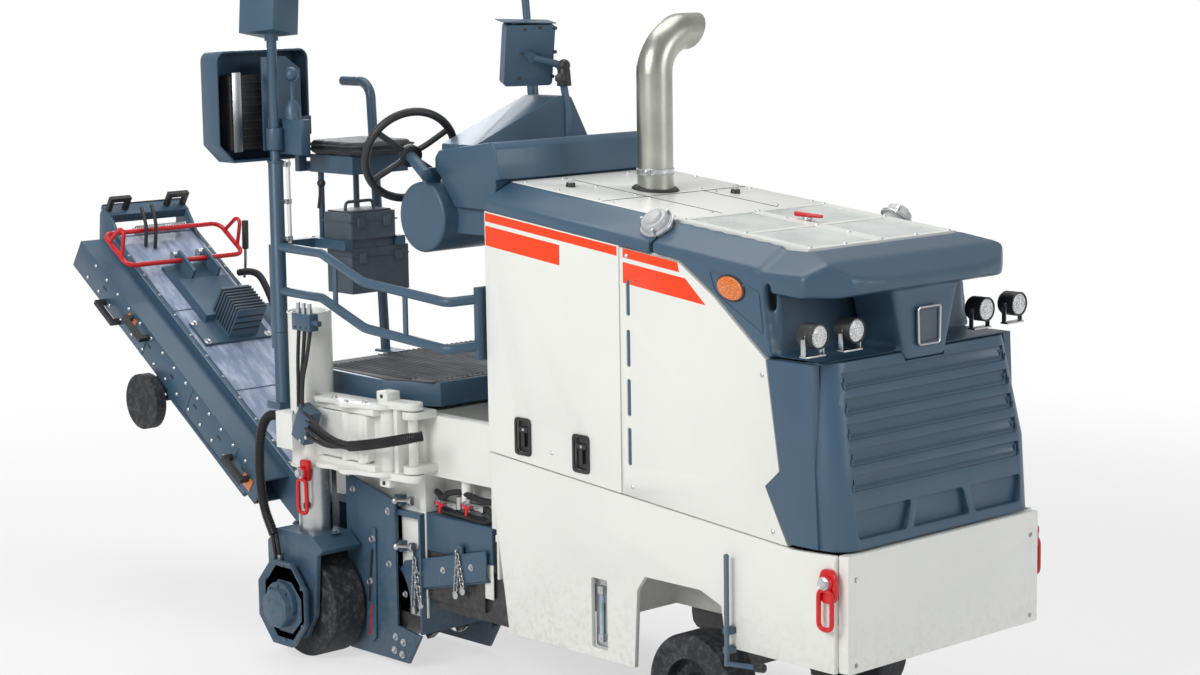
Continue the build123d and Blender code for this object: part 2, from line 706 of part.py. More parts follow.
with BuildPart() as tool_cases:
    span_box((-3050, -2860), (-404, -156), (shelf_bar_z + 20, shelf_bar_z + 130))
    fillet(tool_cases.edges().filter_by(Axis.Z), 18)
    span_box((-3040, -2870), (-390, -90), (shelf_bar_z - 210, shelf_bar_z - 20))
    for x_tab in (-3000, -2900):
        span_box((x_tab - 25, x_tab + 25), (-395, -165), (shelf_bar_z - 20, shelf_bar_z + 20))
write(tool_cases.part, "tool_cases")

# ================================================================ guard rails and masts
upper_rail = [(body_rear - 30, -545, 1566), (-1935, -655, 1556), (-2390, -705, 1603), (-2770, -628, 1684),
              (mast_x, mast_y, 1684)]
lower_rail = [(x, y, z - rail_drop) for x, y, z in upper_rail]
with BuildPart() as guard_rails:
    for route in (upper_rail, lower_rail):
        add(bent_tube(route, [60, 150, 150], rail_radius))
        rear_z = route[3][2]
        left_route = [(body_rear - 30, 545, route[0][2]), (-1960, left_rail_y, route[1][2]),
                      (-2390, left_rail_y, route[2][2]), (-2700, left_rail_y, rear_z)]
        add(bent_tube(left_route, [60, 150], rail_radius))
    for x_post, y_post, z_post in ((-2160, -681, 1481), (-2640, -656, 1566), (-2160, left_rail_y, 1481)):
        span_box((x_post - 12, x_post + 12), (y_post - 4, y_post + 4), (z_post - 95, z_post + 95))
    upright_round(mast_x, mast_y, 1400, 1800, mast_radius, Mode.SUBTRACT)
    upright_round(-2700, left_rail_y, deck_z - 70, 1700, rail_radius)
    span_box((-2725, -2675), (500, left_rail_y + 15), (deck_z - 70, deck_z - 40))
    for side in (-1, 1):
        span_box((body_rear - 36, frame_front), (side * 570, side * 460), (1330, 1612))
write(guard_rails.part, "guard_rails")

with BuildPart() as mast_right:
    with Locations((mast_x, mast_y, (frame_high - 60 + mast_step) / 2)):
        Cylinder(mast_radius, mast_step - frame_high + 60)
    with Locations((mast_x, mast_y, (mast_step + mast_high) / 2)):
        Cylinder(mast_top_radius, mast_high - mast_step)
    span_box((-3160, mast_x + mast_radius), (-640, -450), (1000, 1030))
    span_box((-3130, -2880), (-500, -450), (frame_high - 60, frame_high - 30))
    span_box((mast_x - 60, mast_x - mast_radius + 6), (mast_y - 6, mast_y + 6), (1250, 1690))
    span_box((mast_x, -3060), (-580, -400), (shelf_bar_z - 20, shelf_bar_z + 20))
    crate = Plane(origin=(mast_x, mast_y - 8, mast_high + 95), x_dir=(1, 0.2, 0.12), z_dir=(-0.12, 0.16, 1))
    with BuildSketch(crate.offset(-88)):
        Rectangle(190, 150)
    extrude(amount=176)
    with BuildSketch(crate.offset(92)):
        with Locations((20, 10)):
            Rectangle(250, 190)
    extrude(amount=6)
    with BuildSketch(crate.offset(80)):
        Rectangle(60, 60)
    extrude(amount=14)
    upright_round(mast_x, mast_y, mast_high - 20, mast_high + 20, mast_top_radius + 8)
write(mast_right.part, "mast_right")

with BuildPart() as mast_left:
    add(bent_tube([(-2260, 115, 2040), (-2292, 115, 2420)], [], 23))
    add(bent_tube([(-2290, 115, 2400), (-2330, 115, 2790)], [], 16))
    with Locations((-2331, 115, 2800)):
        Cylinder(50, 24)
    span_box((-2290, -2190), (90, 140), (2045, 2085))
    add(dashboard.part, mode=Mode.SUBTRACT)
write(mast_left.part, "mast_left")

with BuildPart() as beacon:
    with Locations((-2331, 115, 2812 + 55)):
        Cylinder(52, 110)
    fillet(beacon.edges().filter_by(GeomType.CIRCLE).group_by(Axis.Z)[-1], 28)
write(beacon.part, "beacon")

# ================================================================ rear frame and drum chamber
with BuildPart() as rear_frame:
    span_box((frame_rear, frame_front), (-frame_half, frame_half), (frame_low, frame_high))
    span_box(well_x, (-frame_half + well_side, frame_half - well_side), (frame_high - well_depth, frame_high),
             mode=Mode.SUBTRACT)
    span_box(recess_x, (-frame_half, -frame_half + recess_depth), (frame_low, recess_top), mode=Mode.SUBTRACT)
    upright_round(left_leg_x, left_leg_y, frame_low - 1, frame_high + 1, sleeve_radius, Mode.SUBTRACT)
write(rear_frame.part, "rear_frame")

with BuildPart() as recess_floor:                           # folded plate below the valve recess
    span_box(recess_x, (-frame_half, -frame_half + 20), (500, frame_low))
    span_box(recess_x, (-frame_half + 20, -frame_half + recess_depth + 20), (frame_low - 30, frame_low))
write(recess_floor.part, "recess_floor")

lug_heights = ((carrier_low + 36, carrier_low + 66), (carrier_high - 66, carrier_high - 36))
with BuildPart() as link_lugs:                              # lugs and pin that the swing link turns on
    for z_low, z_high in lug_heights:
        span_box((link_pivot[0] - pivot_radius, link_pivot[0] + pivot_radius),
                 (link_pivot[1], -frame_half), (z_low, z_high))
        upright_round(*link_pivot, z_low, z_high, pivot_radius)
    with Locations((link_pivot[0], link_pivot[1], (carrier_low + carrier_high) / 2)):
        Cylinder(pin_radius, carrier_high - carrier_low)
write(link_lugs.part, "link_lugs")

with BuildPart() as left_sleeve:
    upright_round(left_leg_x, left_leg_y, frame_low, left_guide_top, sleeve_radius)
    upright_round(left_leg_x, left_leg_y, frame_low - 1, left_guide_top + 1, column_radius + stub_clear,
                  Mode.SUBTRACT)
write(left_sleeve.part, "left_sleeve")

hanger_y = (belt_y - 50, belt_y + 50)
with BuildPart() as conveyor_hanger:                        # arm that carries the conveyor
    span_box((hanger_rear, frame_rear), hanger_y, (frame_low, frame_low + 250))
    span_box((hanger_rear, frame_rear - 5), hanger_y, (150, frame_low))
    span_box((slew_x - 35, hanger_rear), hanger_y, (150, 190))
    upright_round(slew_x, belt_y, 190, 296, pin_radius)
write(conveyor_hanger.part, "conveyor_hanger")

with BuildPart() as drum_housing:
    span_box(housing_x, (drum_right + drum_length + 12, drum_right + drum_length + 30),
             (side_lift + 90, housing_high))
    span_box(housing_x, (side_plate_y + 5, drum_right + drum_length + 12), (housing_high - 12, frame_low))
    span_box((housing_x[0], housing_x[0] + 12), (side_plate_y + 5, drum_right + drum_length + 12),
             (360, housing_high - 12))
    span_box((housing_x[1] - 12, housing_x[1]), (side_plate_y + 5, drum_right + drum_length + 12),
             (150, housing_high - 12))
    with BuildSketch(side_plane(drum_right + drum_length + 12, drum_x, drum_z)):
        Circle(stub_radius)
    extrude(amount=drum_length + 6)
    with BuildSketch(side_plane(drum_right + drum_length + 112, drum_x, drum_z)):
        Circle(120)
    extrude(amount=82)
    housing_left = drum_right + drum_length + 30
    for x_left, x_right in ((-2790, -2740), (-2350, -2450)):    # guide strips of the side plates
        span_box((x_left, x_left + 20), (housing_left, left_plate_y - stub_clear), (200, 420))
        span_box((x_right, x_right + 20), (side_plate_y + 5, side_plate_y + stub_clear), (500, frame_low))
    for y_strip in (-520, -190):                            # and of the scraper
        span_box((housing_x[0] - 5 + stub_clear, housing_x[0]), (y_strip, y_strip + 20), (380, 600))
write(drum_housing.part, "drum_housing")

with BuildPart() as milling_drum:
    with BuildSketch(side_plane(drum_right + drum_length, drum_x, drum_z)):
        Circle(drum_radius)
        Circle(stub_radius + stub_clear, mode=Mode.SUBTRACT)
    extrude(amount=drum_length)
    for turn in range(14):                                # tool holders set on a helix
        around = turn * 51.4
        along = drum_right + 22 + turn * (drum_length - 44) / 13
        holder = Plane(origin=(drum_x, along, drum_z), z_dir=(math.cos(math.radians(around)), 0,
                       math.sin(math.radians(around))), x_dir=(0, 1, 0))
        with BuildSketch(holder.offset(drum_radius - 12)):
            Rectangle(34, 52)
        extrude(amount=44)
write(milling_drum.part, "milling_drum")

side_plate_outline = [(-2750, 765), (-2430, 690), (-2430, 168), (-2278, 148), (-2360, side_lift),
                      (-2750, side_lift)]
with BuildPart() as side_plate_right:
    add(upright_plate(side_plate_outline, side_plate_y, side_plate_y - side_plate_thick))
write(side_plate_right.part, "side_plate_right")

with BuildPart() as side_plate_left:
    add(upright_plate([(-2800, 420), (-2330, 420), (-2330, 168), (-2250, 148), (-2330, side_lift),
                       (-2760, side_lift), (-2800, 70)], left_plate_y, left_plate_y + side_plate_thick))
    with BuildSketch(side_plane(left_plate_y, drum_x, drum_z)):
        SlotOverall(440, 260, rotation=90)
    extrude(amount=-side_plate_thick, mode=Mode.SUBTRACT)
write(side_plate_left.part, "side_plate_left")

with BuildPart() as belly_box:
    add(upright_plate([(housing_x[1], 470), (housing_x[1], 330), (housing_x[1] + 60, belly_z + 2),
                       (-1742, belly_z + 2), (-1742, rail_low), (frame_front, rail_low), (frame_front, 470)],
                      -frame_half + 15, frame_half - 15))
    span_box((housing_x[1] + 4, -1930), (-frame_half, -frame_half + 15), (300, 500))
write(belly_box.part, "belly_box")

with BuildPart() as scraper_blade:
    span_box((housing_x[0] - 19, housing_x[0] - 5), (side_plate_y + 6, drum_right + drum_length + 8),
             (side_lift, 470))
    span_box((housing_x[0] - 38, housing_x[0] - 19), (side_plate_y + 6, drum_right + drum_length + 8),
             (side_lift, 120))
write(scraper_blade.part, "scraper_blade")

# ================================================================ rear right leg
with BuildPart() as swing_link:
    for z_low, z_high in ((carrier_low, carrier_low + cheek_plate),
                          (carrier_high - cheek_plate, carrier_high)):
        with BuildSketch(Plane.XY.offset(z_low)):
            for x_pin, y_pin in (link_pivot, carrier_pivot):
                with Locations((x_pin, y_pin)):
                    Circle(pivot_radius)
            with BuildLine():
                Polyline((link_pivot[0], link_pivot[1] - pivot_radius + 2),
                         (carrier_pivot[0], carrier_pivot[1] - pivot_radius + 2),
                         (carrier_pivot[0], carrier_pivot[1] + pivot_radius - 2),
                         (link_pivot[0], link_pivot[1] + pivot_radius - 2), close=True)
            make_face()
        extrude(amount=z_high - z_low)
    span_box((link_pivot[0] - 75, link_pivot[0] - 50), (-630, -575), (carrier_low, carrier_high))
    upright_round(link_pivot[0], link_pivot[1], carrier_low, carrier_high, pin_radius + stub_clear,
                  Mode.SUBTRACT)
    upright_round(carrier_pivot[0], carrier_pivot[1], carrier_low, carrier_high, pin_radius)
write(swing_link.part, "swing_link")

with BuildPart() as leg_carrier:
    upright_round(leg_x, leg_y, carrier_low, sleeve_top, sleeve_radius)
    upright_round(carrier_pivot[0], carrier_pivot[1], carrier_low + 34, carrier_high - 34, pivot_radius - 2)
    for z_low, z_high in ((carrier_low + 34, carrier_low + 60), (carrier_high - 60, carrier_high - 34)):
        span_box((leg_x, carrier_pivot[0]), (-690, -590), (z_low, z_high))
    span_box((leg_x, carrier_pivot[0]), (-650, -610), (carrier_low + 34, carrier_high - 34))
    upright_round(carrier_pivot[0], carrier_pivot[1], carrier_low, carrier_high, pin_radius + stub_clear,
                  Mode.SUBTRACT)
    span_box(*hose_block)
    upright_round(leg_x, leg_y, carrier_low - 1, sleeve_top + 1, column_radius + stub_clear, Mode.SUBTRACT)
write(leg_carrier.part, "leg_carrier")

conduit_route = [(-2900, -760, 1010), (-2946, -772, 1017), (-2985, -783, 985), (-3008, -787, 928),
                 (-3018, -788, 850), (-3020, -790, 760), (-3012, -789, 672), (-2992, -788, 600),
                 (-2962, -787, 548), (-2938, -787, 510)]
thin_routes = (              # from the conduit's end down to the union on the yoke
    [(-2944, -794, 524), (-2936, -793, 484), (-2936, -785, 434), (-2938, -778, union[2][1] + 1.3)],
    [(-2930, -782, 516), (-2918, -783, 476), (-2914, -780, 430), (-2914, -778, union[2][1] + 1.3)])
with BuildPart() as leg_conduit:
    add(hose(conduit_route, conduit_radius))
    for route in thin_routes:
        add(hose(route, hose_radius))
    add(leg_carrier.part, mode=Mode.SUBTRACT)
write(leg_conduit.part, "leg_conduit")

fan_heights = (915, 945, 1000)
with BuildPart() as link_conduit:
    for height in fan_heights:
        add(hose([(hose_block[0][1], -752, height), (-2745, -753, height + 6), (-2640, -744, height - 22),
                  (-2540, -736, 922 + (height - 915) / 4),
                  (-2468, -734, 916 + (height - 915) / 4)], hose_radius))
    add(hose([(-2475, -734, 920), (-2450, -734, 921), (-2425, -733, 920)], conduit_radius))
    add(leg_carrier.part, mode=Mode.SUBTRACT)
write(link_conduit.part, "link_conduit")

legs = (                    # name, x, y, side the motor faces
    ("right", leg_x, leg_y, -1),
    ("left", left_leg_x, left_leg_y, 1))
column_top = {"right": 1330, "left": left_guide_top - leg_travel - 10}
for name, x_leg, y_leg, side in legs:
    with BuildPart() as leg_column:
        upright_round(x_leg, y_leg, yoke_high, column_top[name], column_radius)
    write(leg_column.part, f"leg_column_{name}")
    tyre_side = y_leg + side * (rear_width / 2 + 12)       # inner face of the yoke's cheek
    with BuildPart() as wheel_yoke:
        with BuildSketch(side_plane(y_leg - side * rear_width / 2, x_leg, 0)):
            with BuildLine():
                Polyline((-yoke_half, yoke_low), (-yoke_half, yoke_high - 60), (-yoke_half + 60, yoke_high),
                         (yoke_half - 60, yoke_high), (yoke_half + 10, yoke_high - 50),
                         (yoke_half - 20, yoke_low), close=True)
            make_face()
        extrude(amount=-side * (rear_width + 36))
        with BuildSketch(side_plane(tyre_side, x_leg, 0)):
            with BuildLine():
                Polyline((-yoke_half, yoke_high - 60), (-yoke_half, 190), (-yoke_half + 70, 90),
                         (60, 90), (130, 200), (yoke_half - 30, yoke_low + 20),
                         (yoke_half - 60, yoke_high), (-yoke_half + 60, yoke_high), close=True)
            make_face()
        extrude(amount=-side * 24)
        motor_plane = side_plane(tyre_side + side * 24, x_leg - 20, rear_radius)
        with BuildSketch(motor_plane):
            RegularPolygon(118, 8, rotation=22.5)
        extrude(amount=-side * 40)
        with BuildSketch(motor_plane):
            RegularPolygon(84, 8, rotation=22.5)
        extrude(amount=-side * (motor_reach - 761))
        with BuildSketch(side_plane(tyre_side, x_leg, rear_radius)):
            Circle(stub_radius)
        extrude(amount=side * (rear_width + 10))
        if name == "right":
            span_box(*union)
    write(wheel_yoke.part, f"wheel_yoke_{name}")
    write(wheel(x_leg, y_leg, rear_radius, rear_radius, rear_width, -side), f"rear_wheel_{name}")

# ================================================================ loading conveyor
slope_cos = math.cos(math.radians(belt_slope))
slope_sin = math.sin(math.radians(belt_slope))
belt_plane = Plane(origin=(belt_pivot[0], belt_y, belt_pivot[1]), x_dir=(-slope_cos, 0, slope_sin),
                   z_dir=(slope_sin, 0, slope_cos))


def on_belt(along, across, above):
    """A point given in the conveyor's own directions; across counts to the machine's right."""
    return tuple(belt_plane.from_local_coords(Vector(along, across, above)))


def belt_side(across, along=0, above=0):
    """A plane along the slope that faces the machine's left, with its origin at a point."""
    return Plane(origin=on_belt(along, across, above), x_dir=belt_plane.x_dir, z_dir=(0, 1, 0))


def belt_box(along, across, above, mode=Mode.ADD):
    """A box in the conveyor's own directions."""
    middle = Plane(origin=on_belt(sum(along) / 2, sum(across) / 2, sum(above) / 2),
                   x_dir=belt_plane.x_dir, z_dir=belt_plane.z_dir)
    with Locations(middle):
        return Box(abs(along[1] - along[0]), abs(across[1] - across[0]), abs(above[1] - above[0]), mode=mode)


with BuildPart() as slew_bracket:
    upright_round(slew_x, belt_y, 190 + stub_clear, 330, 46)
    span_box((slew_x - 60, slew_x + 40), (belt_y - ear_inner - 20, belt_y + ear_inner + 20), (310, 330))
    for side in (-1, 1):
        ear_y = belt_y + side * ear_inner
        span_box((slew_x - 40, slew_x + 40), (ear_y, ear_y + side * 20), (330, belt_pivot[1] + 40))
        pin_end = belt_y + side * (foot_inner - 2)
        with BuildSketch(side_plane(max(pin_end, ear_y + side * 10), belt_pivot[0], belt_pivot[1])):
            Circle(pin_radius)
        extrude(amount=abs(ear_y + side * 10 - pin_end))
    upright_round(slew_x, belt_y, 190, 297, pin_radius + stub_clear, Mode.SUBTRACT)
write(slew_bracket.part, "slew_bracket")

roller_spots = (roller_first, boom_length - 60)
with BuildPart() as conveyor_frame:
    for side in (-1, 1):
        belt_box((60, boom_length - 40), (side * trough_half, side * (trough_half + 14)),
                 (beam_low, beam_high))
        belt_box((-30, 60), (side * foot_inner, side * (foot_inner + foot_thick)), (-30, 30))
        belt_box((50, 80), (side * foot_inner, side * (trough_half + 14)), (-30, 30))
        beam_end = beam_ends[side]
        belt_box((beam_start, beam_end), (side * (beam_out - 8), side * beam_out), (beam_low, beam_high - 40))
        belt_box((beam_end - 8, beam_end), (side * trough_half, side * beam_out), (beam_low, beam_high - 40))
        for above in (beam_low, beam_high - 48):
            belt_box((beam_start, beam_end), (side * trough_half, side * beam_out), (above, above + 8))
        with BuildSketch(belt_side(max(side * trough_half, side * (trough_half + 14)))):
            with BuildLine():
                Polyline(*head_cheek, close=True)
            make_face()
        extrude(amount=14)
        belt_box((cart_wheel[0] - 40, cart_wheel[0] + 40), (side * (beam_out - 20), side * (beam_out - 8)),
                 (cart_wheel[1] - 35, beam_low + 4))
    for station in (200, 900, 1500, 1940):
        belt_box((station, station + 30), (-trough_half, trough_half), (beam_low, beam_low + 18))
    for station in roller_spots:
        with BuildSketch(belt_side(belt_half, station, roller_level)):
            Circle(roller_radius - seat_gap)
        extrude(amount=2 * belt_half)
        with BuildSketch(belt_side(trough_half + 2, station, roller_level)):
            Circle(18)
        extrude(amount=2 * trough_half + 4)
    belt_box(head_plate[:2], (-trough_half - 14, trough_half + 14), head_plate[2:])
    belt_box((head_plate[0], head_plate[0] + 8), (-trough_half - 14, trough_half + 14), (108, head_plate[2]))
    with BuildSketch(belt_side(beam_out)):
        Circle(pin_radius + stub_clear)
    extrude(amount=2 * beam_out, mode=Mode.SUBTRACT)
    with BuildSketch(belt_side(beam_out, cart_wheel[0], cart_wheel[1])):
        Circle(cart_axle + stub_clear)
    extrude(amount=2 * beam_out, mode=Mode.SUBTRACT)
write(conveyor_frame.part, "conveyor_frame")

with BuildPart() as conveyor_cover:
    belt_box((330, boom_length - 42), (-trough_half - 22, trough_half + 22), (beam_high, cover_w))
    belt_box((320, boom_length - 32), (-trough_half + 6, trough_half - 6), (beam_high - 1, cover_w - 6),
             mode=Mode.SUBTRACT)
    add(conveyor_frame.part, mode=Mode.SUBTRACT)
write(conveyor_cover.part, "conveyor_cover")

with BuildPart() as conveyor_belt:
    with BuildSketch(belt_side(belt_half, sum(roller_spots) / 2, roller_level)):
        for reach in (roller_radius + 8, roller_radius):
            SlotOverall(roller_spots[1] - roller_spots[0] + 2 * reach, 2 * reach,
                        mode=Mode.ADD if reach > roller_radius else Mode.SUBTRACT)
    extrude(amount=2 * belt_half)
write(conveyor_belt.part, "conveyor_belt")

with BuildPart() as push_bar:
    for across in (bar_half, -bar_half):
        corners = [(bar_high, 0), (bar_high, across), (bar_low, across), (bar_low, 0)]
        add(bent_tube([on_belt(run[0], end, run[1]) for run, end in corners], [45, 45], bar_radius))
        foot = on_belt(bar_low[0] + 60, across, bar_low[1])
        top = on_belt((bar_low[0] + bar_high[0]) / 2, across, loop_top)
        toe = on_belt(bar_high[0] - 55, across, bar_high[1])
        add(bent_tube([foot, top, toe], [24], 9))
write(push_bar.part, "push_bar")

with BuildPart() as folding_bracket:
    for across in (20, -120):
        belt_box((1610, bar_low[0] + 40), (across, across + 14), (cover_w + 12, 178))
    belt_box((1340, 1740), (-150, 110), (cover_w, cover_w + 14))
    belt_box((1340, 1600), (-150, 110), (cover_w, 140))
    belt_box((1215, 1380), (-100, 55), (cover_w, 262))
    belt_box((1190, 1346), (-170, 190), (cover_w, 106))
    with BuildSketch(belt_side(trough_half, *bar_low)):
        Circle(bar_radius + seat_gap)
    extrude(amount=2 * trough_half, mode=Mode.SUBTRACT)
write(folding_bracket.part, "folding_bracket")

with BuildPart() as grab_handles:
    for along, above, side in handle_places:
        for end in (-70, 70):
            belt_box((along + end - 11, along + end + 11), (side * beam_out, side * (beam_out + 46)),
                     (above - 11, above + 11))
        belt_box((along - 81, along + 81), (side * (beam_out + 30), side * (beam_out + 52)),
                 (above - 11, above + 11))
    for across in head_handles:
        along = head_plate[0] + 40
        for end in (-45, 45):
            belt_box((along - 11, along + 11), (across + end - 11, across + end + 11), (head_plate[3], 222))
        belt_box((along - 11, along + 11), (across - 56, across + 56), (204, 226))
write(grab_handles.part, "grab_handles")

with BuildPart() as transport_wheels:
    along, above, radius, width = cart_wheel
    for side in (-1, 1):
        near, far = sorted((side * (beam_out + 8), side * (beam_out + 8 + width)))
        with BuildSketch(belt_side(far, along, above)):
            Circle(radius)
        extrude(amount=width)
    with BuildSketch(belt_side(beam_out + 9, along, above)):
        Circle(cart_axle)
    extrude(amount=2 * (beam_out + 9))
write(transport_wheels.part, "transport_wheels")
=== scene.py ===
import bmesh
import bpy
import json
import math
from mathutils import Matrix, Quaternion, Vector

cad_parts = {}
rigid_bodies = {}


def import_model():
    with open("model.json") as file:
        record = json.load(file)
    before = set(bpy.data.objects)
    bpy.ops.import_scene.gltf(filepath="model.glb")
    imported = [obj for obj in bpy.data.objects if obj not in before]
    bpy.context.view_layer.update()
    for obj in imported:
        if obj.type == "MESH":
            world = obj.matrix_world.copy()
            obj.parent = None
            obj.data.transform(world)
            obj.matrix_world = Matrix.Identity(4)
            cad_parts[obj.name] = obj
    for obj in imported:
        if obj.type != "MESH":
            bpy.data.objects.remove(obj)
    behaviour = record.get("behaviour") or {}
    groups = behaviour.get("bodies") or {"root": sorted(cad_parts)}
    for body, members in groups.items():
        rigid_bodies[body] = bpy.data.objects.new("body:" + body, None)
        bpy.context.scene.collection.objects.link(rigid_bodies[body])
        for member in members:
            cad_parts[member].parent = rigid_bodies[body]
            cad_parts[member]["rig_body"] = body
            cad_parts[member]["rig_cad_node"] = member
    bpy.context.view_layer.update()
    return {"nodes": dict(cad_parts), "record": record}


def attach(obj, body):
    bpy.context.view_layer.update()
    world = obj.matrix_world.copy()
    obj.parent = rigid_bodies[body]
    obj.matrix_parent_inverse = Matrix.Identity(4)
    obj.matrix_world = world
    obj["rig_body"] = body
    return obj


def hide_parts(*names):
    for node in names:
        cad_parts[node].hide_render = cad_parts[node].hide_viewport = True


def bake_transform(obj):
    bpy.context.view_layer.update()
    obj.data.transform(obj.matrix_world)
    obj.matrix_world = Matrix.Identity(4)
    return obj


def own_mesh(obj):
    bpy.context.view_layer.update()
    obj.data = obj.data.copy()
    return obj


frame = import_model()
rowShift = Vector((2.380, 0.125, 0))    # from the machine's own datum to the row frame

# camera and studio
cameraSettings = {"place": (8.112, -6.852, 2.885), "aim": (-0.7247, 0.6733, -0.1469), "roll": -0.0150,
                  "lens": 78, "sensor": 36}
studioLamps = {     # place, target, size, power, tint
    "keyLamp": ((1.5, -8.5, 6.0), (0.0, 0, 0.9), 4.5, 520, (1, 0.995, 0.98)),
    "frontLamp": ((9.5, 2.5, 4.2), (1.5, 0, 0.9), 3.5, 190, (0.97, 0.985, 1)),
    "topLamp": ((-0.8, 0.5, 7.5), (-0.2, 0, 1.0), 5.0, 190, (1, 1, 1)),
    "rearLamp": ((-7.5, 3.5, 4.5), (-1.0, 0, 1.2), 3.5, 190, (0.98, 0.99, 1))}
studioLevels = {"world": 0.34, "reflected": 0.55, "floorColour": (0.80, 0.80, 0.80), "floorLift": 0.62,
                "fadeFrom": 3.4, "fadeTo": 7.5}


def aimQuaternion(direction, roll=0.0):
    return Vector(direction).to_track_quat("-Z", "Y") @ Quaternion((0, 0, 1), roll)


def clearSelection():
    if bpy.context.object and bpy.context.object.mode != "OBJECT":
        bpy.ops.object.mode_set(mode="OBJECT")
    bpy.ops.object.select_all(action="DESELECT")


def setUpCamera(settings):
    clearSelection()
    turn = aimQuaternion(settings["aim"], settings["roll"])
    bpy.ops.object.camera_add(location=settings["place"], rotation=turn.to_euler())
    camera = bpy.context.object
    camera.name = "viewCamera"
    camera.data.lens = settings["lens"]
    camera.data.sensor_width = settings["sensor"]
    camera.data.clip_end = 200
    bpy.context.scene.camera = camera


def setUpLamps(lamps):
    for name, (place, target, size, power, tint) in lamps.items():
        clearSelection()
        turn = aimQuaternion(Vector(target) - Vector(place))
        bpy.ops.object.light_add(type="AREA", location=place, rotation=turn.to_euler())
        lamp = bpy.context.object
        lamp.name = name
        lamp.data.shape = "SQUARE"
        lamp.data.size = size
        lamp.data.energy = power
        lamp.data.color = tint


# shader maths: a Link is one output socket, and sums on it add Math nodes
class Link:
    def __init__(self, finish, socket):
        self.finish = finish
        self.socket = socket

    def maths(self, operation, first, second=0.0):
        return self.finish.node("ShaderNodeMath", {"operation": operation}, {0: first, 1: second})

    def __add__(self, other):
        return self.maths("ADD", self, other)

    __radd__ = __add__

    def __sub__(self, other):
        return self.maths("SUBTRACT", self, other)

    def __rsub__(self, other):
        return self.maths("SUBTRACT", other, self)

    def __mul__(self, other):
        return self.maths("MULTIPLY", self, other)

    __rmul__ = __mul__

    def __truediv__(self, other):
        return self.maths("DIVIDE", self, other)

    def __pow__(self, other):
        return self.maths("POWER", self, other)

    def __gt__(self, other):
        return self.maths("GREATER_THAN", self, other)

    def __lt__(self, other):
        return self.maths("LESS_THAN", self, other)

    def __abs__(self):
        return self.maths("ABSOLUTE", self)


class Finish:
    def __init__(self, name, colour, roughness, metallic=0.0, coat=0.0, specular=0.5):
        self.material = bpy.data.materials.new(name)
        self.material.use_nodes = True
        self.tree = self.material.node_tree
        self.shader = self.tree.nodes["Principled BSDF"]
        self.shader.inputs["Base Color"].default_value = (*colour, 1)
        self.shader.inputs["Roughness"].default_value = roughness
        self.shader.inputs["Metallic"].default_value = metallic
        self.shader.inputs["Coat Weight"].default_value = coat
        self.shader.inputs["Coat Roughness"].default_value = 0.12
        self.shader.inputs["Specular IOR Level"].default_value = specular
        self.place = self.node("ShaderNodeTexCoord", {}, {}, "Object")

    def node(self, kind, settings, values, output=0):
        made = self.tree.nodes.new(kind)
        for key, value in settings.items():
            if key == "stops":
                self.setStops(made.color_ramp, value)
            else:
                setattr(made, key, value)
        for key, value in values.items():
            self.feed(made.inputs[key], value)
        return Link(self, made.outputs[output])

    def setStops(self, ramp, stops):
        while len(ramp.elements) < len(stops):
            ramp.elements.new(0.5)
        for element, (position, colour) in zip(ramp.elements, stops):
            element.position = position
            element.color = (*colour, 1) if hasattr(colour, "__len__") else (colour, colour, colour, 1)

    def feed(self, socket, value):
        if isinstance(value, Link):
            self.tree.links.new(value.socket, socket)
        elif hasattr(value, "__len__") and len(value) == 3 and socket.type == "RGBA":
            socket.default_value = (*value, 1)
        else:
            socket.default_value = value

    def set(self, name, value):
        self.feed(self.shader.inputs[name], value)

    def noise(self, scale, detail=2.0, roughness=0.5, place=None):
        return self.node("ShaderNodeTexNoise", {},
                         {"Vector": place or self.place, "Scale": scale, "Detail": detail,
                          "Roughness": roughness}, "Fac")

    def stretched(self, scale):
        return self.node("ShaderNodeMapping", {}, {"Vector": self.place, "Scale": scale})

    def smoothStep(self, value, low, high, first=0.0, last=1.0):
        return self.node("ShaderNodeMapRange", {"interpolation_type": "SMOOTHSTEP"},
                         {"Value": value, "From Min": low, "From Max": high, "To Min": first,
                          "To Max": last})

    def mixColour(self, factor, first, second):
        return self.node("ShaderNodeMix", {"data_type": "RGBA"}, {0: factor, 6: first, 7: second}, 2)

    def axes(self):
        apart = self.tree.nodes.new("ShaderNodeSeparateXYZ")
        self.tree.links.new(self.place.socket, apart.inputs[0])
        return [Link(self, apart.outputs[i]) for i in range(3)]

    def bump(self, height, strength, distance=0.001, edge=0.0):
        values = {"Height": height, "Strength": strength, "Distance": distance}
        if edge:        # a small rounding of sharp edges
            values["Normal"] = self.node("ShaderNodeBevel", {"samples": 4}, {"Radius": edge})
        self.set("Normal", self.node("ShaderNodeBump", {}, values))


# finishes
def paintFinish(name, colour, darker, roughness=0.36, edge=0.003, coat=0.35, dust=0.25, stripes=False):
    made = Finish(name, colour, roughness, coat=coat)
    x, y, z = made.axes()
    cloud = made.noise(1.7, 3, 0.55)
    fine = made.noise(38, 4, 0.6)
    tone = made.smoothStep(cloud, 0.32, 0.68)
    shade = made.mixColour(tone, colour, darker)
    low = made.smoothStep(z, 0.75, 0.12)                # road dust gathers low down
    grime = made.smoothStep(fine, 0.42, 0.72) * low * dust
    shade = made.mixColour(grime, shade, (0.23, 0.20, 0.165))
    if stripes:
        paint = stripeMask(x, y, z)
        shade = made.mixColour(paint, shade, stripeSettings["colour"])
    made.set("Base Color", shade)
    made.set("Roughness", roughness + 0.08 * (fine - 0.5) + 0.25 * grime)
    peel = made.noise(420, 2, 0.5)
    made.bump(peel, 0.045, 0.0006, edge)
    return made.material


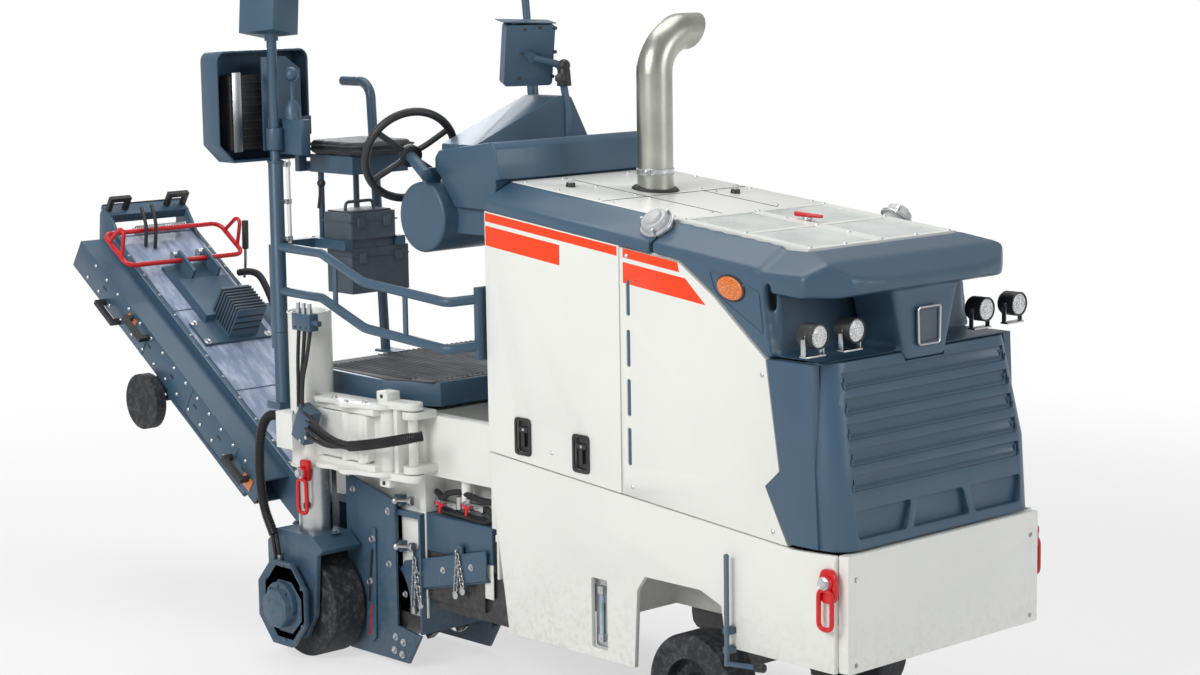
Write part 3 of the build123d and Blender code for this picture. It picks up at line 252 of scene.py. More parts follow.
stripeSettings = {"colour": (0.93, 0.052, 0.002), "start": -1.84, "shoulder": 1.908, "slope": 0.107,
                  "upper": (0.005, 0.039), "lower": (0.055, 0.132), "doorEnd": -1.101,
                  "panelStart": -1.070, "lowerDoorEnd": -1.412, "upperEnd": -0.789, "upperSlope": 0.26,
                  "lowerEnd": -0.822, "lowerSlope": 1.32}


def stripeMask(x, y, z):
    s = stripeSettings
    along = x - rowShift.x                              # back in the machine's datum
    below = s["shoulder"] - (along - s["start"]) * s["slope"] - z
    outer = abs(y - rowShift.y) > 0.5385
    notSplit = (along < s["doorEnd"]) + (along > s["panelStart"])
    onDoor = along < s["doorEnd"]
    upper = ((below > s["upper"][0]) * (below < s["upper"][1])
             * (along + below * -s["upperSlope"] < s["upperEnd"]))
    lowerReach = ((along < s["lowerDoorEnd"])
                  + (1 - onDoor) * (along + below * -s["lowerSlope"] < s["lowerEnd"]))
    lower = (below > s["lower"][0]) * (below < s["lower"][1]) * lowerReach
    return (upper + lower) * outer * notSplit * (along > -1.834)


def metalFinish(name, colour, darker, roughness, streak=(1, 1, 1), metallic=1.0, edge=0.0):
    made = Finish(name, colour, roughness, metallic)
    brushed = made.noise(60, 4, 0.6, made.stretched(streak))
    cloud = made.noise(6, 3, 0.5)
    made.set("Base Color", made.mixColour(made.smoothStep(cloud, 0.3, 0.7), colour, darker))
    made.set("Roughness", roughness + 0.22 * (brushed - 0.5))
    made.bump(brushed, 0.05, 0.0005, edge)
    return made.material


def plasticFinish(name, colour, roughness, grain=220, depth=0.12, specular=0.5, edge=0.0):
    made = Finish(name, colour, roughness, specular=specular)
    cloud = made.noise(9, 3, 0.5)
    pale = tuple(min(1, c * 1.35 + 0.006) for c in colour)
    made.set("Base Color", made.mixColour(made.smoothStep(cloud, 0.3, 0.75), colour, pale))
    made.set("Roughness", roughness + 0.12 * (cloud - 0.5))
    made.bump(made.noise(grain, 3, 0.6), depth, 0.0006, edge)
    return made.material


def tyreFinish(name):
    made = Finish(name, (0.028, 0.029, 0.032), 0.7, specular=0.35)
    mottle = made.noise(34, 6, 0.72)
    grit = made.noise(160, 3, 0.6)
    worn = made.smoothStep(mottle, 0.45, 0.66)
    shade = made.mixColour(worn, (0.022, 0.023, 0.027), (0.085, 0.088, 0.096))
    made.set("Base Color", shade)
    made.set("Roughness", 0.62 + 0.22 * worn)
    made.bump(grit + 0.8 * mottle, 0.35, 0.0022, 0.004)
    return made.material


def beltFinish(name):
    made = Finish(name, (0.05, 0.055, 0.062), 0.6, specular=0.35)
    wear = made.noise(5, 4, 0.6, made.stretched((0.5, 2.5, 0.5)))
    made.set("Base Color", made.mixColour(made.smoothStep(wear, 0.35, 0.7), (0.045, 0.048, 0.055),
                                          (0.12, 0.13, 0.145)))
    made.set("Roughness", 0.5 + 0.25 * wear)
    made.bump(made.noise(180, 3, 0.6), 0.2, 0.001)
    return made.material


def clearFinish(name):
    # the cover's blue tint is painted sheen: the bluish reflection on the belt cover, put into its colour
    made = Finish(name, (0.62, 0.72, 0.90), 0.09, coat=0.6)
    scuffAndSheen = made.noise(7, 5, 0.6, made.stretched((1.0, 3.0, 1.0)))
    # lighter streaks: real scuffs and painted sheen both
    made.set("Base Color", made.mixColour(made.smoothStep(scuffAndSheen, 0.35, 0.7), (0.40, 0.52, 0.74),
                                          (0.66, 0.75, 0.92)))
    made.set("Alpha", 0.50 + 0.22 * made.smoothStep(scuffAndSheen, 0.4, 0.7))
    made.set("Roughness", 0.08 + 0.2 * scuffAndSheen)
    made.bump(made.noise(3.5, 2, 0.5), 0.25, 0.004)
    return made.material


def lensFinish(name, colour, roughness=0.12):
    made = Finish(name, colour, roughness, coat=1.0)
    cells = made.node("ShaderNodeTexVoronoi", {"feature": "DISTANCE_TO_EDGE"},
                      {"Vector": made.place, "Scale": 95.0}, "Distance")
    ridge = made.smoothStep(cells, 0.0, 0.22)
    dark = tuple(c * 0.55 for c in colour)
    made.set("Base Color", made.mixColour(ridge, dark, colour))
    made.bump(ridge, 0.5, 0.001)
    return made.material


def vinylFinish(name):
    made = Finish(name, (0.022, 0.023, 0.026), 0.48, specular=0.45)
    grain = made.node("ShaderNodeTexVoronoi", {"feature": "DISTANCE_TO_EDGE"},
                      {"Vector": made.place, "Scale": 420.0}, "Distance")
    fold = made.noise(14, 3, 0.5)
    made.set("Base Color", made.mixColour(made.smoothStep(fold, 0.3, 0.7), (0.020, 0.021, 0.024),
                                          (0.040, 0.042, 0.047)))
    made.set("Roughness", 0.44 + 0.15 * fold)
    made.bump(made.smoothStep(grain, 0.0, 0.12) + 0.6 * fold, 0.28, 0.0012)
    return made.material


def castFinish(name):
    made = Finish(name, (0.055, 0.058, 0.062), 0.62, metallic=0.35)
    cast = made.noise(70, 5, 0.65)
    soot = made.noise(5, 3, 0.55)
    made.set("Base Color", made.mixColour(made.smoothStep(soot, 0.35, 0.7), (0.035, 0.037, 0.040),
                                          (0.095, 0.098, 0.10)))
    made.set("Roughness", 0.5 + 0.25 * cast)
    made.bump(cast, 0.4, 0.002, 0.004)
    return made.material


whitePaint = ((0.835, 0.842, 0.805), (0.800, 0.808, 0.772))
slatePaint = ((0.046, 0.100, 0.160), (0.040, 0.088, 0.143))
finishes = {"white": paintFinish("white_coat", *whitePaint, coat=0.15),
            "striped": paintFinish("striped_white_coat", *whitePaint, coat=0.1, stripes=True),
            "slate": paintFinish("slate_coat", *slatePaint, roughness=0.42, coat=0.12),
            "paleSlate": paintFinish("pale_slate_coat", (0.095, 0.160, 0.215), (0.085, 0.145, 0.195),
                                     roughness=0.45, coat=0.1),
            "black": paintFinish("black_coat", (0.010, 0.010, 0.011), (0.016, 0.016, 0.017),
                                 roughness=0.45, coat=0.2),
            "red": paintFinish("red_coat", (0.66, 0.003, 0.008), (0.56, 0.003, 0.008), roughness=0.36,
                               coat=0.15),
            "steel": metalFinish("bare_steel", (0.56, 0.57, 0.57), (0.44, 0.45, 0.46), 0.30, (1, 1, 9)),
            "zinc": metalFinish("zinc_plated_bolts", (0.62, 0.63, 0.65), (0.50, 0.51, 0.53), 0.34),
            "exhaust": metalFinish("stainless_exhaust", (0.47, 0.48, 0.43), (0.36, 0.37, 0.33), 0.33,
                                   (1, 1, 0.12), edge=0.002), "iron": castFinish("engine_casting"),
            "tyre": tyreFinish("tyre_rubber"), "belt": beltFinish("belt_rubber"),
            "hose": plasticFinish("hose_rubber", (0.012, 0.012, 0.014), 0.42, 300, 0.10, 0.45),
            "plastic": plasticFinish("moulded_black", (0.014, 0.014, 0.016), 0.46, 260, 0.14, edge=0.002),
            "case": plasticFinish("moulded_slate", (0.060, 0.085, 0.110), 0.50, 260, 0.14, edge=0.002),
            "cover": clearFinish("clear_cover"), "amber": lensFinish("amber_lens", (0.90, 0.20, 0.01)),
            "lamp": lensFinish("lamp_glass", (0.86, 0.88, 0.88), 0.08),
            "lampBody": metalFinish("lamp_housing", (0.10, 0.105, 0.11), (0.07, 0.072, 0.075), 0.45,
                                    metallic=0.6, edge=0.002), "vinyl": vinylFinish("seat_vinyl"),
            "mesh": metalFinish("mesh_wire", (0.60, 0.62, 0.61), (0.50, 0.52, 0.52), 0.38, metallic=0.7),
            "cap": plasticFinish("smoked_cap", (0.42, 0.43, 0.44), 0.25, 90, 0.1, 0.6)}

nodeFinishes = {
    "white": "chassis ballast_plate hood_top grille_hatch swing_link leg_carrier rear_frame "
             "link_lugs left_sleeve",
    "striped": "side_door_right side_door_left side_panels",
    "slate": "visor hood_rims front_cowl dashboard steering_pod guard_rails mast_right mast_left "
             "platform_deck seat_frame side_plate_right side_plate_left drum_housing wheel_yoke_right "
             "wheel_yoke_left conveyor_frame folding_bracket slew_bracket control_cabinet display_unit "
             "armrest_console recess_floor conveyor_hanger",
    "black": "belly_box front_axle steer_knuckle_right steer_knuckle_left scraper_blade milling_drum",
    "red": "lifting_eyes push_bar",
    "steel": "leg_column_right leg_column_left",
    "exhaust": "exhaust_stack",
    "iron": "engine_block",
    "tyre": "front_wheel_right front_wheel_left rear_wheel_right rear_wheel_left transport_wheels",
    "belt": "conveyor_belt",
    "hose": "leg_conduit link_conduit",
    "plastic": "grab_handles steering_wheel",
    "case": "tool_cases",
    "cover": "conveyor_cover",
    "amber": "beacon",
    "lampBody": "work_lights",
    "vinyl": "seat_cushion"}


def paintNodes():
    for finish, names in nodeFinishes.items():
        for name in names.split():
            node = frame["nodes"][name]
            node.data.materials.clear()
            node.data.materials.append(finishes[finish])
    bare = [n for n in frame["nodes"] if n not in " ".join(nodeFinishes.values()).split()]
    print("nodes without a finish:", bare)


def setUpStage(levels):
    clearSelection()
    bpy.ops.mesh.primitive_plane_add(size=120, location=(0, 0, -0.001))
    floor = bpy.context.object
    floor.name = "studioFloor"
    made = Finish("studio_floor", levels["floorColour"], 0.9, specular=0.1)
    camera = made.node("ShaderNodeLightPath", {}, {}, "Is Camera Ray")
    glossy = Link(made, camera.socket.node.outputs["Is Glossy Ray"])
    through = Link(made, camera.socket.node.outputs["Is Transmission Ray"])
    white = made.node("ShaderNodeEmission", {}, {"Color": (1, 1, 1), "Strength": 1.0})
    away = made.node("ShaderNodeVectorMath", {"operation": "LENGTH"}, {0: made.place}, "Value")
    lift = made.smoothStep(away, levels["fadeFrom"], levels["fadeTo"], levels["floorLift"], 1.0)
    blend = made.node("ShaderNodeMixShader", {}, {0: (camera + glossy + through) * lift, 2: white})
    made.tree.links.new(made.shader.outputs[0], blend.socket.node.inputs[1])
    made.tree.links.new(blend.socket, made.tree.nodes["Material Output"].inputs["Surface"])
    floor.data.materials.append(made.material)
    world = bpy.data.worlds.new("studioWorld")
    bpy.context.scene.world = world
    world.use_nodes = True
    tree = world.node_tree
    background = tree.nodes["Background"]
    rays = tree.nodes.new("ShaderNodeLightPath")
    anyRay = tree.nodes.new("ShaderNodeMath")
    anyRay.operation = "MAXIMUM"
    tree.links.new(rays.outputs["Is Camera Ray"], anyRay.inputs[0])
    glossy = tree.nodes.new("ShaderNodeMath")
    glossy.operation = "MAXIMUM"
    tree.links.new(rays.outputs["Is Glossy Ray"], glossy.inputs[0])
    tree.links.new(rays.outputs["Is Transmission Ray"], glossy.inputs[1])
    tree.links.new(glossy.outputs[0], anyRay.inputs[1])
    level = tree.nodes.new("ShaderNodeMapRange")
    level.inputs["To Min"].default_value = levels["world"]
    level.inputs["To Max"].default_value = 1.0
    tree.links.new(anyRay.outputs[0], level.inputs["Value"])
    dimmed = tree.nodes.new("ShaderNodeMath")           # reflections see a darker studio than the camera does
    dimmed.operation = "MULTIPLY_ADD"
    dimmed.inputs[1].default_value = levels["reflected"] - 1
    tree.links.new(rays.outputs["Is Glossy Ray"], dimmed.inputs[0])
    tree.links.new(level.outputs[0], dimmed.inputs[2])
    tree.links.new(dimmed.outputs[0], background.inputs["Strength"])
    background.inputs["Color"].default_value = (1, 1, 1, 1)
    bpy.context.scene.view_settings.view_transform = "Standard"


setUpCamera(cameraSettings)
setUpLamps(studioLamps)
setUpStage(studioLevels)
paintNodes()
print("camera, studio and finishes are in place")

# modelling helpers: pieces are shaped in the machine's own datum, in metres, and moved by rowShift at the end
def active():
    return bpy.context.object


def nameActive(name):
    piece = active()
    piece.name = name
    piece.data.name = name
    return piece


def pick(piece, *others):
    clearSelection()
    for one in (piece, *others):
        one.select_set(True)
    bpy.context.view_layer.objects.active = piece


def settle(piece):
    pick(piece)
    bpy.ops.object.transform_apply(location=True, rotation=True, scale=True)
    return piece


def block(name, low, high, round=0.0, steps=2):
    clearSelection()
    low, high = Vector(low), Vector(high)
    bpy.ops.mesh.primitive_cube_add(size=1, location=(low + high) / 2, scale=high - low)
    piece = settle(nameActive(name))
    return roundEdges(piece, round, steps) if round else piece


def bar(name, start, end, radius, sides=16, tip=None, round=0.0):
    clearSelection()
    start, end = Vector(start), Vector(end)
    turn = (end - start).to_track_quat("Z", "Y").to_euler()
    bpy.ops.mesh.primitive_cone_add(vertices=sides, radius1=radius,
                                    radius2=radius if tip is None else tip, depth=(end - start).length,
                                    location=(start + end) / 2, rotation=turn)
    piece = settle(nameActive(name))
    return roundEdges(piece, round) if round else piece


def ring(name, centre, normal, major, minor, around=40, sides=10):
    clearSelection()
    turn = Vector(normal).to_track_quat("Z", "Y").to_euler()
    bpy.ops.mesh.primitive_torus_add(location=centre, rotation=turn, major_radius=major,
                                     minor_radius=minor, major_segments=around, minor_segments=sides)
    return settle(nameActive(name))


def ball(name, centre, radius, segments=20, squash=(1, 1, 1)):
    clearSelection()
    bpy.ops.mesh.primitive_uv_sphere_add(location=centre, radius=radius, segments=segments,
                                         ring_count=max(8, segments // 2), scale=squash)
    return settle(nameActive(name))


def plate(name, outline, thick, round=0.0, steps=2):
    # a flat face with its corners moved to the outline, then extruded by the vector thick
    clearSelection()
    bpy.ops.mesh.primitive_circle_add(vertices=len(outline), radius=1, fill_type="NGON")
    piece = settle(nameActive(name))
    for vertex, point in zip(piece.data.vertices, outline):
        vertex.co = point
    bpy.ops.object.mode_set(mode="EDIT")
    bpy.ops.mesh.select_all(action="SELECT")
    bpy.ops.mesh.extrude_region_move(TRANSFORM_OT_translate={"value": thick})
    bpy.ops.mesh.select_all(action="SELECT")
    bpy.ops.mesh.normals_make_consistent(inside=False)
    bpy.ops.object.mode_set(mode="OBJECT")
    return roundEdges(piece, round, steps) if round else piece


def sidePlate(name, outline, y, thick, round=0.0, steps=2):
    return plate(name, [(x, y, z) for x, z in outline], (0, thick, 0), round, steps)


def flatPlate(name, outline, z, thick, round=0.0, steps=2):
    return plate(name, [(x, y, z) for x, y in outline], (0, 0, thick), round, steps)


def frontPlate(name, outline, x, thick, round=0.0, steps=2):
    return plate(name, [(x, y, z) for y, z in outline], (thick, 0, 0), round, steps)


def roundEdges(piece, width, steps=2, angle=30):
    pick(piece)
    cut = piece.modifiers.new("softEdges", "BEVEL")
    cut.width = width
    cut.segments = steps
    cut.limit_method = "ANGLE"
    cut.angle_limit = math.radians(angle)
    cut.harden_normals = False
    bpy.ops.object.modifier_apply(modifier=cut.name)
    return piece


def cutOut(piece, cutter):
    pick(piece)
    carve = piece.modifiers.new("opening", "BOOLEAN")
    carve.operation = "DIFFERENCE"
    carve.solver = "EXACT"
    carve.object = cutter
    bpy.ops.object.modifier_apply(modifier=carve.name)
    bpy.data.objects.remove(cutter)
    return piece


def editFaces(piece, wanted, *steps):
    pick(piece)
    bpy.ops.object.mode_set(mode="EDIT")
    bpy.ops.mesh.select_mode(type="FACE")
    bpy.ops.mesh.select_all(action="DESELECT")
    shape = bmesh.from_edit_mesh(piece.data)
    for face in shape.faces:
        face.select_set(bool(wanted(face.calc_center_median(), face.normal)))
    bmesh.update_edit_mesh(piece.data)
    for step in steps:
        step()
    bpy.ops.object.mode_set(mode="OBJECT")
    return piece


def inset(width, depth=0.0):
    return lambda: bpy.ops.mesh.inset(thickness=width, depth=depth)


def tube(name, points, radius, sides=10, smooth=True, fine=10):
    clearSelection()
    line = bpy.data.curves.new(name, "CURVE")
    line.dimensions = "3D"
    spline = line.splines.new("NURBS" if smooth else "POLY")
    spline.points.add(len(points) - 1)
    for point, place in zip(spline.points, points):
        point.co = (*place, 1)
    if smooth:
        spline.order_u = 3
        spline.use_endpoint_u = True
        spline.resolution_u = fine
    line.bevel_depth = radius
    line.bevel_resolution = max(1, sides // 4)
    line.use_fill_caps = True
    piece = bpy.data.objects.new(name, line)
    bpy.context.scene.collection.objects.link(piece)
    pick(piece)
    bpy.ops.object.convert(target="MESH")
    return nameActive(name)


def rounded(points, radius, steps=4, closed=False):
    made = []       # the same corners, each turned into a short arc
    count = len(points)
    for i, corner in enumerate(points):
        corner = Vector(corner)
        if not closed and i in (0, count - 1):
            made.append(corner)
            continue
        before, after = Vector(points[i - 1]) - corner, Vector(points[(i + 1) % count]) - corner
        reach = min(radius, 0.45 * before.length, 0.45 * after.length)
        start, end = corner + before.normalized() * reach, corner + after.normalized() * reach
        for step in range(steps + 1):
            t = step / steps
            made.append(start.lerp(corner, t).lerp(corner.lerp(end, t), t))
    return made


def bentBar(name, points, radius, bend=0.03, sides=10, closed=False):
    path = rounded(points, bend, 5, closed)
    if closed:
        path.append(path[0])
    piece = tube(name, path, radius, sides, smooth=False)
    if closed:
        weld(piece, radius * 0.2)
    return piece


def weld(piece, reach=0.0001):
    pick(piece)
    bpy.ops.object.mode_set(mode="EDIT")
    bpy.ops.mesh.select_all(action="SELECT")
    bpy.ops.mesh.remove_doubles(threshold=reach)
    bpy.ops.mesh.normals_make_consistent(inside=False)
    bpy.ops.object.mode_set(mode="OBJECT")
    return piece


def turned(piece, degrees, axis, centre):
    centre = Vector(centre)
    turn = Matrix.Translation(centre) @ Matrix.Rotation(math.radians(degrees), 4,
                                                        Vector(axis)) @ Matrix.Translation(-centre)
    piece.data.transform(turn)
    return piece


def joined(name, pieces):
    pick(*pieces)
    if len(pieces) > 1:
        bpy.ops.object.join()
    return nameActive(name)


def roundedCorners(corners, radius, steps=3):
    return [tuple(p)[:2] for p in rounded([(a, b, 0) for a, b in corners], radius, steps, closed=True)]


def around(u, v, halfU, halfV):        # four corners of a rectangle about its middle
    return [(u - halfU, v - halfV), (u + halfU, v - halfV), (u + halfU, v + halfV), (u - halfU, v + halfV)]


def finishPiece(piece, finish, body="root", angle=35):
    settle(piece)
    piece.data.transform(Matrix.Translation(rowShift))
    piece.data.materials.clear()
    piece.data.materials.append(finishes[finish])
    pick(piece)
    bpy.ops.object.shade_smooth_by_angle(angle=math.radians(angle))
    if body:
        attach(piece, body)
    return piece


def boltRow(name, spots, out, radius, height, sides=6, washer=0.0):
    out = Vector(out).normalized()
    made = []
    for place in spots:
        place = Vector(place)
        head = bar("head", place - out * 0.001, place + out * height, radius, sides)
        editFaces(head, lambda c, n: n.dot(out) > 0.9, inset(radius * 0.16, -radius * 0.10))
        made.append(head)
        if washer:
            made.append(bar("washer", place - out * 0.001, place + out * height * 0.25, washer, 20))
    return joined(name, made)


def domeRow(name, spots, out, radius, height):
    out = Vector(out).normalized()
    made = []
    for place in spots:
        place = Vector(place)
        foot = bar("foot", place - out * 0.001, place + out * height * 0.35, radius, 16)
        made.append(foot)
        made.append(bar("dome", place + out * height * 0.35, place + out * height, radius, 16,
                        tip=radius * 0.55))
    return joined(name, made)


def softCopy(node, width, finish, angle=30, steps=2, name=None, flat=1.5, shade=32, cutters=()):
    source = frame["nodes"][node]        # a CAD node's copy, merged, with its sharp edges rounded
    piece = source.copy()
    piece.data = source.data.copy()
    piece.parent = None
    piece.name = name or node + "_finished"
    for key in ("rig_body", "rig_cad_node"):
        if key in piece:
            del piece[key]
    bpy.context.scene.collection.objects.link(piece)
    pick(piece)
    bpy.ops.object.mode_set(mode="EDIT")
    bpy.ops.mesh.select_all(action="SELECT")
    bpy.ops.mesh.remove_doubles(threshold=0.00002)
    bpy.ops.mesh.dissolve_limited(angle_limit=math.radians(flat))
    bpy.ops.mesh.normals_make_consistent(inside=False)
    bpy.ops.object.mode_set(mode="OBJECT")
    for cutter in cutters:
        cutter.data.transform(Matrix.Translation(rowShift))
        cutOut(piece, cutter)
    cut = piece.modifiers.new("softEdges", "BEVEL")
    cut.width = width
    cut.segments = steps
    cut.limit_method = "ANGLE"
    cut.angle_limit = math.radians(angle)
    bpy.ops.object.modifier_apply(modifier=cut.name)
    piece.data.materials.clear()
    piece.data.materials.append(finishes[finish])
    bpy.ops.object.shade_smooth_by_angle(angle=math.radians(shade))
    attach(piece, bodyOf[node])
    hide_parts(node)
    return piece


class Kit(list):        # pieces with their finishes, joined by finish when they are gathered
    def put(self, finish, *pieces):
        self.extend((piece, finish) for piece in pieces)


bodyOf = {node: body for body, nodes in frame["record"]["behaviour"]["bodies"].items() for node in nodes}

# hard panels: the CAD shape with its edges rounded
softEdges = {       # node: (width, finish, slot)
    "side_door_right": (0.003, "striped", "white_paint"), "side_door_left": (0.003, "striped", "white_paint"),
    "side_panels": (0.003, "striped", "white_paint"), "ballast_plate": (0.0035, "white", "white_paint"),
    "hood_rims": (0.006, "slate", "slate_paint"), "hood_top": (0.004, "white", "white_paint"),
    "chassis": (0.003, "white", "white_paint"), "swing_link": (0.004, "white", "white_paint"),
    "leg_carrier": (0.003, "white", "white_paint"), "wheel_yoke_right": (0.004, "slate", "slate_paint"),
    "wheel_yoke_left": (0.004, "slate", "slate_paint"), "side_plate_right": (0.002, "slate", "slate_paint"),
    "dashboard": (0.008, "slate", "slate_paint"), "platform_deck": (0.004, "slate", "slate_paint"),
    "control_cabinet": (0.004, "slate", "slate_paint"), "conveyor_frame": (0.0025, "slate", "slate_paint"),
    "rear_frame": (0.003, "white", "white_paint"), "folding_bracket": (0.003, "slate", "slate_paint"),
    "steering_pod": (0.005, "slate", "slate_paint"), "mast_right": (0.002, "slate", "slate_paint"),
    "armrest_console": (0.003, "slate", "slate_paint"), "link_lugs": (0.003, "white", "white_paint"),
    "left_sleeve": (0.003, "white", "white_paint"), "recess_floor": (0.002, "slate", "slate_paint"),
    "conveyor_hanger": (0.003, "slate", "slate_paint")}
latchSpots = [(-1.635, 1.054), (-1.308, 1.030)]
ventSpots = [(1.705, 1.575), (1.523, 1.387), (1.341, 1.205), (1.161, 1.022)]
ventX = -1.046


def sideRecess(corners, radius, side, depth):
    return sidePlate("recess", roundedCorners(corners, radius, 4), side * (0.540 - depth),
                     side * (depth + 0.02))


def recessesOf(node):
    made = []
    if node.startswith("side_door"):
        side = -1 if node.endswith("right") else 1
        for x, z in latchSpots:
            made.append(sideRecess(around(x, z, 0.036, 0.062), 0.014, side, 0.010))
    if node == "side_panels":
        for side in (-1, 1):
            for high, low in ventSpots:
                middle, half = (high + low) / 2, (high - low) / 2
                made.append(sideRecess(around(ventX, middle, 0.0095, half), 0.009, side, 0.006))
    return made


for node, (width, finish, slot) in softEdges.items():
    softCopy(node, width, finish, cutters=recessesOf(node))
print("panels have soft edges")

# front cowl: louvres and pockets are cut into the CAD cowl
cowlSizes = {"louvreTop": 1.452, "louvrePitch": 0.0865, "louvres": 5, "louvreHalf": 0.436,
             "louvreGrow": 0.004, "pocketTop": 0.985, "pocketLow": 0.885, "pocketHalf": 0.452,
             "pocketDepth": 0.022, "edge": 0.005}


def cowlFace(z):
    if z < 1.12:
        return -0.018 - (z - 0.85) * 0.0889
    return -0.042 - (z - 1.12) * 0.1798


def louvreCutter(top, low, half, deep, shallow, corner):
    outline = roundedCorners([(-half, top), (half, top), (half, low), (-half, low)], corner, 5)
    outline = [(-half, top), (half, top)] + [point for point in outline if point[1] < top - corner * 1.2]
    floor = []       # a tray that is deep at the top and shallow at its rounded lower edge
    for y, z in outline:
        down = (top - z) / (top - low)
        face = cowlFace(top) + (cowlFace(low) - cowlFace(top)) * down
        floor.append((face - deep + (deep - shallow) * down, y, z))
    return plate("louvreCutter", floor, (0.06, 0, 0))


def pocketCutter(corners, depth):
    outline = [(y, z) for y, z in roundedCorners(corners, 0.016)]
    cutter = frontPlate("pocketCutter", outline, cowlFace(corners[0][1]) - depth, depth + 0.05)
    return cutter


c = cowlSizes
cutters = []
for i in range(c["louvres"]):
    top = c["louvreTop"] - i * c["louvrePitch"]
    half = c["louvreHalf"] + c["louvreGrow"] * i
    cutters.append(louvreCutter(top, top - c["louvrePitch"] * 0.66, half, 0.017, 0.006, 0.026))
half, high, low = c["pocketHalf"], c["pocketTop"], c["pocketLow"]
for corners in ([(-half, high), (-half + 0.012, low), (-0.185, low), (-0.155, high)],
                [(-0.125, high), (-0.155, low), (0.155, low), (0.125, high)],
                [(0.155, high), (0.185, low), (half - 0.012, low), (half, high)]):
    cutters.append(pocketCutter(corners, c["pocketDepth"]))
softCopy("front_cowl", c["edge"], "slate", cutters=[joined("cowlCutters", cutters)])
made = Kit()
for i in range(c["louvres"]):
    top = c["louvreTop"] - i * c["louvrePitch"]
    half = c["louvreHalf"] + c["louvreGrow"] * i
    for low, inward, sink in ((top - c["louvrePitch"] * 0.66, 0.000, 0.0006), (top - c["louvrePitch"] * 0.48,
                        0.012, 0.0080)):
        x, h = cowlFace(low) - sink, half - inward
        lip = [(x, -h, low + 0.028), (x, -h, low), (x, h, low), (x, h, low + 0.028)]
        made.put("slate", bentBar("lip", lip, 0.0034, 0.024, 8))
louvreLips = made


def visorShell():
    source = frame["nodes"]["visor"]
    piece = source.copy()
    piece.data = source.data.copy()
    piece.parent = None
    piece.name = "visor_shell"
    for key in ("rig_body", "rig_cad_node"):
        if key in piece:
            del piece[key]
    bpy.context.scene.collection.objects.link(piece)
    weld(piece, 0.00002)
    grid = piece.modifiers.new("evenMesh", "REMESH")        # an even mesh, then rounded by smoothing
    grid.mode = "VOXEL"
    grid.voxel_size = 0.0075
    bpy.ops.object.modifier_apply(modifier=grid.name)
    soften = piece.modifiers.new("soften", "SMOOTH")
    soften.factor = 0.5
    soften.iterations = 26
    bpy.ops.object.modifier_apply(modifier=soften.name)
    fewer = piece.modifiers.new("fewer", "DECIMATE")
    fewer.ratio = 0.35
    bpy.ops.object.modifier_apply(modifier=fewer.name)
    piece.data.materials.clear()
    piece.data.materials.append(finishes["slate"])
    pick(piece)
    bpy.ops.object.shade_smooth_by_angle(angle=math.radians(50))
    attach(piece, "root")
    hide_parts("visor")
    return piece


visorShell()
print("cowl and visor are shaped")

# work lights
lampSizes = {"places": (0.352, 0.540), "height": 1.590, "face": -0.112, "radius": 0.0455}


def workLamp(side, y, s):
    made = Kit()
    x, z, r = s["face"], s["height"], s["radius"]
    centre = Vector((x, side * y, z))
    shell = bar("shell", centre - Vector((0.062, 0, 0)), centre + Vector((0.004, 0, 0)), r * 0.97, 40,
                round=0.003)
    editFaces(shell, lambda c, n: n.x > 0.9, inset(0.005, -0.006))
    made.put("plastic", shell)
    for i in range(5):                                  # cooling fins
        at = x - 0.068 + i * 0.009
        made.put("plastic", bar("fin", (at, side * y, z), (at + 0.004, side * y, z),
                                r * (0.86 + 0.03 * i), 32, round=0.001))
    glass = ball("glass", centre, r * 0.86, 28, (0.24, 1, 1))
    made.put("lamp", glass)
    made.put("plastic", ring("bezel", centre + Vector((0.003, 0, 0)), (1, 0, 0), r * 0.93, 0.0026, 44, 8))
    for dy in (-0.015, 0.015):                          # reflector cups behind the glass
        made.put("zinc", ring("cup", centre + Vector((0.0085, dy, 0)), (1, 0, 0), 0.010, 0.0012, 22, 6))
    for end in (-1, 1):                                 # bracket arms and their knobs
        arm = block("arm", (x - 0.040, side * y + end * (r + 0.001) - 0.002, z - 0.066),
                    (x - 0.020, side * y + end * (r + 0.001) + 0.002, z + 0.006), 0.001)
        made.put("steel", arm)
        made.put("plastic", bar("knob", (x - 0.03, side * y + end * (r + 0.003), z),
                                (x - 0.03, side * y + end * (r + 0.011), z), 0.008, 12, round=0.001))
    made.put("steel", block("foot", (x - 0.046, side * y - r - 0.003, z - 0.072),
                            (x - 0.012, side * y + r + 0.003, z - 0.066), 0.001))
    return made


def gather(name, made, body="root"):
    groups = {}
    for piece, finish in made:
        groups.setdefault(finish, []).append(piece)
    result = {}
    for finish, pieces in groups.items():
        whole = joined(name + "_" + finish.lower(), pieces)
        result[finish] = finishPiece(whole, finish, body)
    return result


made = Kit()
for side in (-1, 1):
    for y in lampSizes["places"]:
        made += workLamp(side, y, lampSizes)
parts = gather("work_lamp", made)
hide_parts("work_lights")

# badge bracket: a blank tile in a bright frame
badgeSizes = {"z": 1.575, "half": 0.056, "tall": 0.066, "x": -0.094}
b = badgeSizes
gather("louvre_lips", louvreLips)
tile = frontPlate("tile", roundedCorners([(-b["half"], b["z"] - b["tall"]),
                                          (b["half"], b["z"] - b["tall"]),
                                          (b["half"] + 0.004, b["z"] + b["tall"]),
                                          (-b["half"] - 0.004, b["z"] + b["tall"])], 0.010), b["x"],
                  0.012, 0.002)
editFaces(tile, lambda c, n: n.x > 0.9, inset(0.008, -0.004))
made = Kit([(tile, "case")])
edge = bentBar("edge", [(b["x"] + 0.012, -b["half"], b["z"] - b["tall"]),
                        (b["x"] + 0.012, b["half"], b["z"] - b["tall"]),
                        (b["x"] + 0.012, b["half"] + 0.004, b["z"] + b["tall"]),
                        (b["x"] + 0.012, -b["half"] - 0.004, b["z"] + b["tall"])], 0.0042, 0.012, 8,
               closed=True)
made.put("steel", edge)
gather("badge", made)

